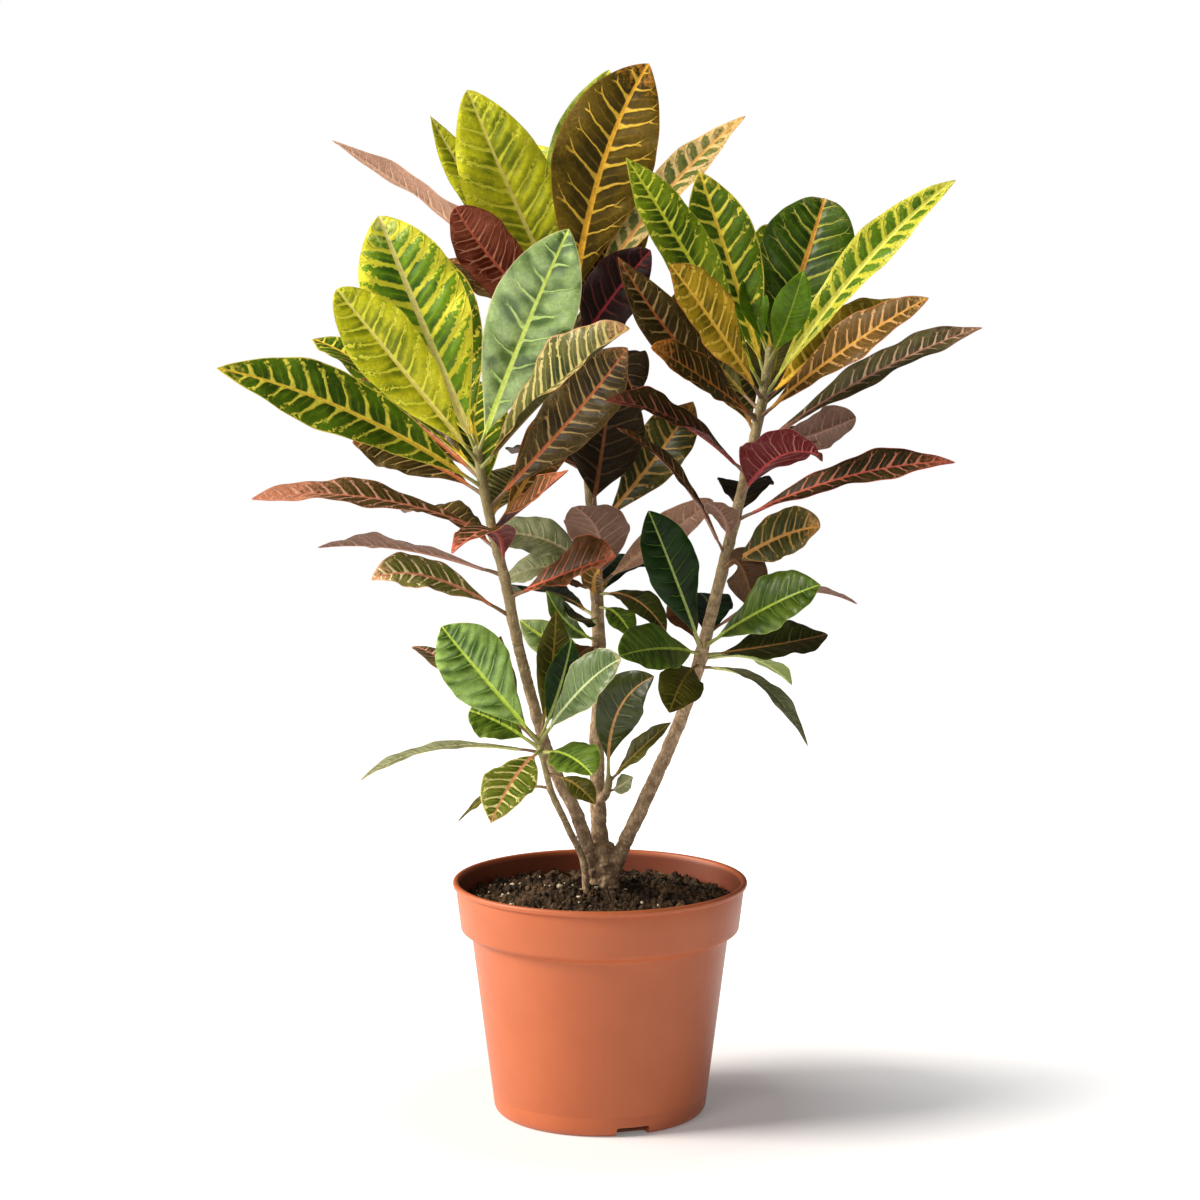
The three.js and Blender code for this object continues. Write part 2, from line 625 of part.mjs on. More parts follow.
/** The plain hole that a stem stands in, round its foot and a little deeper than it. */
function socketRound([x, y, z], radius) {
  const height = SOCKET.cutLevel - z;
  const hole = new THREE.CylinderGeometry(radius, radius, height, SOCKET.sides);
  hole.rotateX(Math.PI / 2);
  hole.translate(x, y, z - CLEARANCE + height / 2);
  return toSolid(hole);
}

// ---------------------------------------------------------------- trunk

/** The stump: a knotty foot that stands in the soil. */
function stumpSolid() {
  const [x, y] = STUMP.foot;
  const rings = STUMP.radii.map(([level, radius], i) => {
    const ring = [];
    for (let k = 0; k < STUMP.sides; k += 1) {
      const angle = (2 * Math.PI * k) / STUMP.sides;
      const knots = level > STUMP.buriedTo ? STUMP.knots : 0;
      const reach = radius * (1 + knots * Math.sin(3 * angle + i));
      ring.push(new THREE.Vector3(x + reach * Math.cos(angle), y + reach * Math.sin(angle), level));
    }
    return ring;
  });
  return loft(rings);
}

function makeTrunk() {
  const stub = { ...WOODY, knots: 0, step: TWIG_STEM.stubStep };
  return stumpSolid()
    .add(stemLength(LEFT_STEM, footLevel(LEFT_STEM), LEFT_STEM.leafyFrom, WOODY))
    .add(stemLength(CENTRE_STEM, footLevel(CENTRE_STEM), CENTRE_STEM.leafyFrom, WOODY))
    .add(stemLength(RIGHT_STEM, footLevel(RIGHT_STEM), RIGHT_STEM.leafyFrom, WOODY))
    .add(stemLength(TWIG_STEM, footLevel(TWIG_STEM), TWIG_STEM.leafyFrom, stub));
}

// ---------------------------------------------------------------- the whole plant

const stumpReach = Math.max(...STUMP.radii.map(([, radius]) => radius)) * (1 + STUMP.knots);
const stumpSocket = socketRound(STUMP.foot, stumpReach + SOCKET.extraRadius);
const suckerSocket = socketRound(SUCKER_STEM.path[0], SUCKER_STEM.footRadius + SOCKET.extraRadius);

const croton = new THREE.Group();
croton.name = "potted_croton";
croton.add(
  toMesh("pot", makePot(), 0xc56f47, 0.5),
  toMesh("soil", makeSoil([stumpSocket, suckerSocket]), 0x2c221a, 1),
  toMesh("trunk", makeTrunk(), 0x6f5c45, 0.9),
  toMesh(
    "left_crown",
    leafyLength(LEFT_STEM, LEFT_STEM.leafyFrom, tipLevel(LEFT_STEM), LEFT_CROWN_LEAVES, BUD),
    0x7f9a2a,
    0.4,
  ),
  toMesh(
    "centre_crown",
    leafyLength(CENTRE_STEM, CENTRE_STEM.crownFrom, tipLevel(CENTRE_STEM), CENTRE_CROWN_LEAVES, BUD),
    0x9a7a28,
    0.4,
  ),
  toMesh(
    "right_crown",
    leafyLength(RIGHT_STEM, RIGHT_STEM.crownFrom, tipLevel(RIGHT_STEM), RIGHT_CROWN_LEAVES, BUD),
    0x6d4a24,
    0.4,
  ),
  toMesh(
    "centre_lower_leaves",
    leafyLength(CENTRE_STEM, CENTRE_STEM.leafyFrom, CENTRE_STEM.crownFrom, CENTRE_LOWER_LEAVES, 0),
    0x4a5a24,
    0.4,
  ),
  toMesh(
    "right_lower_leaves",
    leafyLength(RIGHT_STEM, RIGHT_STEM.leafyFrom, RIGHT_STEM.crownFrom, RIGHT_LOWER_LEAVES, 0),
    0x2f6a24,
    0.35,
  ),
  toMesh(
    "sucker",
    leafyLength(SUCKER_STEM, footLevel(SUCKER_STEM), tipLevel(SUCKER_STEM), SUCKER_LEAVES, BUD),
    0x4c8a34,
    0.35,
  ),
  toMesh(
    "twig",
    leafyLength(TWIG_STEM, TWIG_STEM.leafyFrom, tipLevel(TWIG_STEM), TWIG_LEAVES, BUD),
    0x37521f,
    0.35,
  ),
);

export default croton;
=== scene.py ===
"""Dresses a potted croton: leaves, bark, potting mix and a moulded plastic pot.

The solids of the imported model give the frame. Each piece here stands where its solid stands
and repeats the solid's sizes, with the relief, veins and grain that the solid leaves out.
"""

from __future__ import annotations

import logging
import math
import random
from dataclasses import dataclass, replace
from enum import Enum
from functools import cache
from typing import Any, Iterable

import bpy
import numpy as np
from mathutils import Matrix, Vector, noise


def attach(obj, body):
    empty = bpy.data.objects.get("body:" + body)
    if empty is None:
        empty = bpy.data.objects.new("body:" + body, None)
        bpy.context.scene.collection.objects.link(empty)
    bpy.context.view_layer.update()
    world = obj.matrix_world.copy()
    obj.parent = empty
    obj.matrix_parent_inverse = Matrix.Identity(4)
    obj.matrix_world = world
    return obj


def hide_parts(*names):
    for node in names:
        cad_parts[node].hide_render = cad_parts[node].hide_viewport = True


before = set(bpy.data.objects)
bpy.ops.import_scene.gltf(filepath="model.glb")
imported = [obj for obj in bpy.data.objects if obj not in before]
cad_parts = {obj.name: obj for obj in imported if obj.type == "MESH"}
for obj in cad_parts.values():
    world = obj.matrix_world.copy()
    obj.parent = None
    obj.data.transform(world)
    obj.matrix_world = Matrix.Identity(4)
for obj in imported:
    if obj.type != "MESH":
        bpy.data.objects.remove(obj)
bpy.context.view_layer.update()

log = logging.getLogger("croton")

MM = 0.001
BAND_FOOT = 121.5  # level of the lower edge of the pot's rim band, in millimetres
STUMP = (2.0, 4.0)  # middle of the stump's foot, in millimetres
Point = tuple[float, float, float]
Piece, Mesh, Material = bpy.types.Object, bpy.types.Mesh, bpy.types.Material
Tree, Socket = bpy.types.NodeTree, bpy.types.NodeSocket
# Socket numbers of the Mix node when it mixes colours.
MIX_A, MIX_B, MIX_COLOUR = 6, 7, 2
# Output number of an attribute's plain value.
VALUE = 2


# ------------------------------------------------------------------ small tools


def linear(hex_colour: str) -> list[float]:
    """Turns an sRGB hex colour into the linear values that a shader takes.

    Args:
        hex_colour: Six digits after a hash sign.

    Returns:
        Red, green, blue and an alpha of 1.
    """
    parts = [int(hex_colour[i : i + 2], 16) / 255 for i in (1, 3, 5)]
    return [c / 12.92 if c <= 0.04045 else ((c + 0.055) / 1.055) ** 2.4 for c in parts] + [1.0]


def add(
    tree: Tree,
    kind: str,
    inputs: dict[int | str, Any] | list[Any] | None = None,
    out: int | str = 0,
    **settings: Any,
) -> Socket | None:
    """Adds one shader node with its settings and links.

    Args:
        tree: The material's node tree.
        kind: The node's type without its prefix, and its operation after a space if it has one.
        inputs: A value, an sRGB hex colour or another node's output for each socket, either by
            the socket's number or name, or as a list from the first socket on.
        out: Which output to give back.
        **settings: The node's other properties.

    Returns:
        The chosen output, or nothing where the node has none.
    """
    kind, _, operation = kind.partition(" ")
    node = tree.nodes.new("ShaderNode" + kind)
    if operation:
        node.operation = operation
    for key, value in settings.items():
        setattr(node, key, value)
    for key, value in inputs.items() if isinstance(inputs, dict) else enumerate(inputs or []):
        if isinstance(value, Socket):
            tree.links.new(value, node.inputs[key])
        elif isinstance(value, str):
            node.inputs[key].default_value = linear(value)
        else:
            node.inputs[key].default_value = value
    return node.outputs[out] if node.outputs else None


def new_material(name: str) -> tuple[Material, Tree]:
    """Makes an empty material.

    Args:
        name: What the real finish is.

    Returns:
        The material and its node tree.
    """
    material = bpy.data.materials.new(name)
    material.use_nodes = True
    material.node_tree.nodes.clear()
    return material, material.node_tree


def select_only(piece: Piece) -> None:
    """Makes one object the only selected and the active one.

    Args:
        piece: The object.
    """
    if bpy.context.object and bpy.context.object.mode != "OBJECT":
        bpy.ops.object.mode_set(mode="OBJECT")
    bpy.ops.object.select_all(action="DESELECT")
    piece.select_set(True)
    bpy.context.view_layer.objects.active = piece


def added(name: str) -> Piece:
    """Names the primitive that was just added.

    Args:
        name: The new name of the object and its mesh.

    Returns:
        The object.
    """
    piece = bpy.context.object
    piece.name = name
    piece.data.name = name
    select_only(piece)
    return piece


def with_modifier(piece: Piece, kind: str, **settings: Any) -> None:
    """Adds a modifier and applies it.

    Args:
        piece: The object.
        kind: The modifier's type.
        **settings: The modifier's properties.
    """
    select_only(piece)
    modifier = piece.modifiers.new(kind.title(), kind)
    for key, value in settings.items():
        setattr(modifier, key, value)
    bpy.ops.object.modifier_apply(modifier=modifier.name)


def joined(name: str, pieces: list[Piece]) -> Piece:
    """Joins objects into one.

    Args:
        name: The name of the whole.
        pieces: The objects.

    Returns:
        The whole.
    """
    select_only(pieces[0])
    for piece in pieces[1:]:
        piece.select_set(True)
    if len(pieces) > 1:
        bpy.ops.object.join()
    return added(name)


def places(mesh: Mesh) -> np.ndarray:
    """Reads a mesh's points.

    Args:
        mesh: The mesh.

    Returns:
        One row a point, in metres.
    """
    flat = np.empty(len(mesh.vertices) * 3, np.float64)
    mesh.vertices.foreach_get("co", flat)
    return flat.reshape(-1, 3)


def put(mesh: Mesh, points: np.ndarray) -> None:
    """Moves a mesh's points to where the rows say, in metres."""
    mesh.vertices.foreach_set("co", np.ascontiguousarray(points, np.float64).ravel())
    mesh.update()


def note(mesh: Mesh, name: str, values: np.ndarray) -> None:
    """Writes one number a point as a named attribute of a mesh."""
    layer = mesh.attributes.new(name, "FLOAT", "POINT")
    layer.data.foreach_set("value", np.ascontiguousarray(values, np.float32))


def ease(low: float, high: float, value: np.ndarray) -> np.ndarray:
    """Turns numbers into a smooth step from 0 at low to 1 at high."""
    share = np.clip((value - low) / (high - low), 0.0, 1.0)
    return share * share * (3 - 2 * share)


def copied(piece: Piece) -> Piece:
    """Copies an object and its mesh into the scene."""
    copy = piece.copy()
    copy.data = piece.data.copy()
    bpy.context.scene.collection.objects.link(copy)
    return copy


def straight_rod(name: str, sides: int, rings: int) -> Piece:
    """Models a straight round rod along Z, 1 long and 2 across, with closed ends.

    Args:
        name: The rod's name.
        sides: How many points each ring has.
        rings: How many rings it has with its two ends.

    Returns:
        The rod, with its middle at the origin.
    """
    bpy.ops.mesh.primitive_cylinder_add(vertices=sides, radius=1, depth=1, end_fill_type="TRIFAN")
    rod = added(name)
    for edge in rod.data.edges:
        ends = [rod.data.vertices[i].co.z for i in edge.vertices]
        edge.select = abs(ends[0] - ends[1]) > 0.5
    for face in rod.data.polygons:
        face.select = False
    bpy.ops.object.mode_set(mode="EDIT")
    bpy.ops.mesh.select_mode(type="EDGE")
    bpy.ops.mesh.subdivide(number_cuts=rings - 2)
    bpy.ops.object.mode_set(mode="OBJECT")
    return rod


def ringed_body(name: str, rings: list[tuple[float, float]], sides: int) -> Piece:
    """Grows a round body from a disc, one ring after another, by extruding and scaling.

    Args:
        name: The object's name.
        rings: Radius and height in millimetres, from the middle of the underside, out, up and
            back to the middle.
        sides: How many points each ring has.

    Returns:
        The closed body.
    """
    radius, height = rings[0]
    bpy.ops.mesh.primitive_circle_add(vertices=sides, radius=radius * MM, fill_type="NGON")
    body = added(name)
    bpy.ops.object.mode_set(mode="EDIT")
    bpy.ops.mesh.select_all(action="SELECT")
    bpy.ops.transform.translate(value=(0, 0, height * MM))
    for next_radius, next_height in rings[1:]:
        bpy.ops.mesh.extrude_region_move()
        bpy.ops.transform.translate(value=(0, 0, (next_height - height) * MM))
        scale = next_radius / radius
        bpy.ops.transform.resize(value=(scale, scale, 1), center_override=(0, 0, next_height * MM))
        radius, height = next_radius, next_height
    bpy.ops.mesh.select_all(action="SELECT")
    bpy.ops.mesh.normals_make_consistent(inside=False)
    bpy.ops.object.mode_set(mode="OBJECT")
    return body


def hand_over(piece: Piece, node: str, slot: str) -> None:
    """Sets a finished piece in the frame and reports it.

    Args:
        piece: The object.
        node: The solid that it stands for.
        slot: The record's material slot that its finish belongs to. It is not used.
    """
    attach(piece, "root")
    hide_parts(node)
    log.info("%s: %d faces, for %s", piece.name, len(piece.data.polygons), node)


# ------------------------------------------------------------------ leaf finishes


RIGHT_SHIFT = 0.46  # how far the right half's side veins are from the left half's, in spacings
GROOVE_SHIFT = 0.11  # how far the grooves of the side veins are from whole spacings, in spacings
PATCH_BEND, WANDER_BEND = 0.34, 0.18  # how far the noises bend a side vein, in spacings
NOISE_MEAN = 0.5  # of every noise node


class Side(Enum):
    """Which face of a blade."""

    UPPER = "upper"
    UNDER = "under"


@dataclass(frozen=True)
class LeafBack:
    """The dull underside of a croton leaf, where the veins stand out.

    Attributes:
        name: What it is called.
        ground: Colour between the veins.
        vein: Colour of the veins.
        midrib: Colour of the midrib.
    """

    name: str
    ground: str
    vein: str
    midrib: str

    def material(self) -> Material:
        """Gives the material, drawn as the upper face's is."""
        paint = LeafPaint(
            self.name, "", Back.OLIVE, self.ground, self.ground, self.vein, self.midrib,
            self.vein, self.vein, vein_width=0.055, reach=0.95, margin_width=0.5, fine=0.4,
            gloss=0.52, wax=0.05,
        )
        return paint.material(Side.UNDER)


class Back(Enum):
    """The undersides that croton leaves have."""

    LIGHT_GREEN = LeafBack("light green leaf underside", "#7f8f4a", "#b4b86c", "#c3c47c")
    OLIVE = LeafBack("olive leaf underside", "#40401a", "#6a6030", "#7a6838")
    ROSY = LeafBack("rosy brown leaf underside", "#8a5a46", "#b88a70", "#bc8468")
    BROWN = LeafBack("brown leaf underside", "#4a3420", "#5e4228", "#6c4a30")
    MAUVE = LeafBack("mauve leaf underside", "#765848", "#a08070", "#a47866")
    RUST = LeafBack("rust leaf underside", "#4a2410", "#a8602c", "#b0582a")
    MAROON = LeafBack("maroon leaf underside", "#562622", "#8a4c42", "#94443c")
    PINK = LeafBack("dusty pink leaf underside", "#b0866e", "#d8b096", "#d0a484")
    CRIMSON = LeafBack("crimson leaf underside", "#561416", "#a8685c", "#a83c3c")


@dataclass(frozen=True)
class LeafPaint:
    """The waxy upper face of a croton leaf: a ground colour, broken by coloured veins.

    The veins carry carotene and anthocyanin where the ground keeps its chlorophyll, so the two
    meet in a ragged edge, and the wax over both gives a soft white gloss.

    Attributes:
        name: What it is called.
        slot: The record's material slot.
        back: The underside that goes with it.
        ground: Colour between the veins.
        flush_and_sheen: A second ground colour, in soft patches, and painted sheen in the middle of each
            swell between side veins.
        vein: Colour of the side veins.
        midrib: Colour of the midrib.
        margin: Colour of the leaf's edge.
        tip: Colour that the whole blade turns to at its tip.
        tip_from: Where along the blade that begins. Past 1 it never does.
        spacing: Millimetres from one side vein to the next.
        vein_width: Half width of a side vein at the midrib, as a share of the spacing.
        reach: How far towards the edge the side veins run.
        spread: Half width of the band that each vein colours, as a share of the spacing.
        spread_edge: How much wider that band grows at the leaf's edge.
        midrib_width: Width of the midrib at its foot, in millimetres.
        margin_width: Width of the coloured edge, in millimetres.
        fine: Strength of the veins between the side veins.
        net: Strength of the net of small veins towards the edge.
        gloss: Roughness of the wax.
        wax: How much clear wax lies on it.
        quilt: How far it swells between its side veins, against the other leaves, and how strongly the
            second ground colour is laid on the swells as painted sheen, the ground left along the veins as
            painted shade.
    """

    name: str
    slot: str
    back: Back
    ground: str
    flush_and_sheen: str
    vein: str
    midrib: str
    margin: str
    tip: str
    tip_from: float = 2.0
    spacing: float = 10.0
    vein_width: float = 0.075
    reach: float = 0.85
    spread: float = 0.0
    spread_edge: float = 0.0
    midrib_width: float = 3.0
    margin_width: float = 0.7
    fine: float = 0.3
    net: float = 0.1
    gloss: float = 0.42
    wax: float = 0.1
    quilt: float = 1.0

    @cache
    def material(self, side: Side) -> Material:
        """Gives the material of one face, drawn from the blade's own measures.

        Args:
            side: Which face it is.

        Returns:
            The material.
        """
        material, t = new_material(self.name)
        names = ("along", "across", "vein", "rib_mm", "edge_mm", "seed")
        along, across, row, rib, edge, seed = (
            add(t, "Attribute", out=VALUE, attribute_name=name) for name in names
        )
        here = add(t, "TexCoord", out="Object")
        away = add(t, "Math ABSOLUTE", [across])

        # Soft patches of 20 mm, wandering of 7 mm, ragged edges of 3 mm and grain under 1 mm.
        patches = add(t, "TexNoise", {"Vector": here, "Scale": 50.0})
        wander = add(t, "TexNoise", {"Vector": here, "Scale": 140.0, "Detail": 1.0})
        ragged = add(t, "TexNoise", {"Vector": here, "Scale": 420.0, "Detail": 3.0})
        grain = add(t, "TexNoise", {"Vector": here, "Scale": 1800.0})
        rough_edge = add(t, "Math ADD", [ragged, -NOISE_MEAN])

        # The right half's veins leave the midrib between the left half's.
        right = add(t, "Math GREATER_THAN", [across, 0.0])
        shifted = add(t, "Math MULTIPLY_ADD", [right, RIGHT_SHIFT, row])
        level = GROOVE_SHIFT - NOISE_MEAN * (PATCH_BEND + WANDER_BEND)
        bent = add(t, "Math ADD", [shifted, level])
        for part, bend in ((patches, PATCH_BEND), (wander, WANDER_BEND)):
            bent = add(t, "Math MULTIPLY_ADD", [part, bend, bent])
        number = add(t, "Math ROUND", [bent])
        which = add(t, "CombineXYZ", [number, right, seed])
        chance = add(t, "TexWhiteNoise", {"Vector": which}, out="Color")
        first, second, third = add(t, "SeparateColor", [chance]).node.outputs
        beside = add(t, "Math SUBTRACT", [bent, number])
        beside = add(t, "Math MULTIPLY_ADD", [third, -0.2, beside])
        beside = add(t, "Math ADD", [beside, 0.1])
        beside = add(t, "Math ABSOLUTE", [beside])

        # A side vein is a wedge at the midrib, thins towards the edge and forks there.
        fork_at = add(t, "Math MULTIPLY_ADD", [second, 0.25, 0.5])
        forked = add(t, "Math SUBTRACT", [away, fork_at])
        forked = add(t, "Math MAXIMUM", [forked, 0.0])
        apart = add(t, "Math MULTIPLY_ADD", [forked, -1.15, beside])
        apart = add(t, "Math ABSOLUTE", [apart])
        apart = add(t, "Math MULTIPLY_ADD", [rough_edge, 0.04, apart])
        thin = add(t, "MapRange", [away, 0.0, 0.9, self.vein_width, self.vein_width * 0.4])
        wedge = add(t, "MapRange", [away, 0.0, 0.2, 1.9, 1.0])
        uneven = add(t, "Math MULTIPLY_ADD", [first, 0.7, 0.65])
        half = thin
        for factor in (uneven, wedge):
            half = add(t, "Math MULTIPLY", [half, factor])
        half_soft = add(t, "Math MULTIPLY", [half, 1.45])
        half_core = add(t, "Math MULTIPLY", [half, 0.6])
        soft = {"interpolation_type": "SMOOTHSTEP"}
        veins = add(t, "MapRange", [apart, half_core, half_soft, 1.0, 0.0], **soft)
        end = add(t, "Math MULTIPLY_ADD", [second, 0.4, self.reach - 0.3])
        ends = add(t, "Math MULTIPLY_ADD", [rough_edge, 0.5, away])
        ends = add(t, "Math SUBTRACT", [ends, end])
        ends = add(t, "MapRange", [ends, -0.14, 0.08, 1.0, 0.0])
        veins = add(t, "Math MULTIPLY", [veins, ends])

        # One weaker vein between each two side veins, that fades half way out.
        fine = add(t, "Math MULTIPLY_ADD", [bent, 2.0, 1.0])
        fine = add(t, "Math PINGPONG", [fine, 1.0])
        fine = add(t, "MapRange", [fine, 0.02, 0.13, self.fine, 0.0])
        faded = add(t, "Math MULTIPLY_ADD", [wander, 0.9, away])
        faded = add(t, "MapRange", [faded, 0.6, 1.1, 1.0, 0.0])
        fine = add(t, "Math MULTIPLY", [fine, faded])

        # A net of small veins, with meshes of 4 mm, towards the edge.
        meshes = add(t, "TexVoronoi", {"Vector": here, "Scale": 240.0}, feature="DISTANCE_TO_EDGE")
        net = add(t, "MapRange", [meshes, 0.02, 0.12, self.net, 0.0])
        outer = add(t, "MapRange", [away, 0.3, 0.75])
        broken = add(t, "MapRange", [wander, 0.42, 0.56])
        for factor in (outer, broken):
            net = add(t, "Math MULTIPLY", [net, factor])

        # The band of colour that runs from each vein into the blade, in flecks near the edge.
        edge_more = add(t, "MapRange", [away, 0.4, 1.0, self.spread, self.spread + self.spread_edge])
        flecked = add(t, "MapRange", [away, 0.35, 0.95, 0.3, 1.9])
        band = add(t, "Math MULTIPLY_ADD", [rough_edge, flecked, beside])
        band = add(t, "Math SUBTRACT", [band, edge_more])
        band = add(t, "MapRange", [band, -0.05, 0.04, 1.0, 0.0])
        wanted = 1.0 if self.spread > 0 else 0.0
        band = add(t, "Math MULTIPLY", [band, wanted])

        # The midrib narrows to the tip. The edge line is ragged.
        rib_half = self.midrib_width / 2
        rib_line = add(t, "MapRange", [along, 0.0, 1.0, rib_half, rib_half * 0.35])
        ribs = add(t, "Math SUBTRACT", [rib, rib_line])
        midrib = add(t, "MapRange", [ribs, -0.3, 0.25, 1.0, 0.0])
        edging = add(t, "Math MULTIPLY_ADD", [rough_edge, 2.2 * self.margin_width, edge])
        edging = add(t, "MapRange", [edging, self.margin_width * 0.6, self.margin_width, 1.0, 0.0])

        # Colours, laid over one another.
        # The second ground colour lies in soft patches, more towards the edge, and in the middle of each
        # swell between side veins as painted sheen; the ground left along the veins near the midrib is
        # painted shade in the creases.
        outwards = add(t, "Math MULTIPLY_ADD", [away, 0.2, patches])
        sheen_swell = add(t, "Math MULTIPLY_ADD", [beside, 0.32 * self.quilt, outwards])
        level = 0.46 + 0.07 * self.quilt
        patches_and_sheen = add(t, "MapRange", [sheen_swell, level, level + 0.26])
        at_tip = add(t, "Math MULTIPLY_ADD", [rough_edge, 0.45, along])
        at_tip = add(t, "MapRange", [at_tip, self.tip_from, self.tip_from + 0.2, 0.0, 0.9])
        colour = self.ground
        for mask, hue in (
            (patches_and_sheen, self.flush_and_sheen), (at_tip, self.tip), (band, self.vein), (net, self.vein),
            (fine, self.vein), (veins, self.vein), (edging, self.margin), (midrib, self.midrib),
        ):
            colour = add(t, "Mix", {0: mask, MIX_A: colour, MIX_B: hue}, MIX_COLOUR, data_type="RGBA")
        speckle = add(t, "Math ADD", [ragged, grain])
        speckle = add(t, "MapRange", [speckle, 0.75, 1.25, 0.88, 1.34])
        hues = {0: 1.0, MIX_A: colour, MIX_B: speckle}
        colour = add(t, "Mix", hues, MIX_COLOUR, data_type="RGBA", blend_type="MULTIPLY")

        # Veins are sunk in the upper face and stand out of the underside.
        groove_edge = add(t, "Math MULTIPLY", [half, 2.6])
        relief = add(t, "MapRange", [apart, 0.0, groove_edge, 1.0, 0.0], **soft)
        relief = add(t, "Math MULTIPLY", [relief, ends])
        for part, depth in ((fine, 0.7), (net, 0.7), (wander, -1.0), (grain, -0.3)):
            relief = add(t, "Math MULTIPLY_ADD", [part, depth, relief])
        bumps = {"Strength": 0.9, "Distance": 0.5 * MM, "Height": relief}
        bump = add(t, "Bump", bumps, invert=side is Side.UPPER)
        rough = add(t, "MapRange", [ragged, 0.3, 0.7, self.gloss, self.gloss + 0.12])
        rough = add(t, "Math MULTIPLY_ADD", [veins, 0.12, rough])
        look = {
            "Base Color": colour, "Roughness": rough, "IOR": 1.45, "Normal": bump,
            "Specular IOR Level": 0.12 + 0.65 * self.wax,
            "Coat Weight": self.wax if side is Side.UPPER else 0.0, "Coat Roughness": 0.25,
        }
        add(t, "OutputMaterial", {"Surface": add(t, "BsdfPrincipled", look)})
        return material


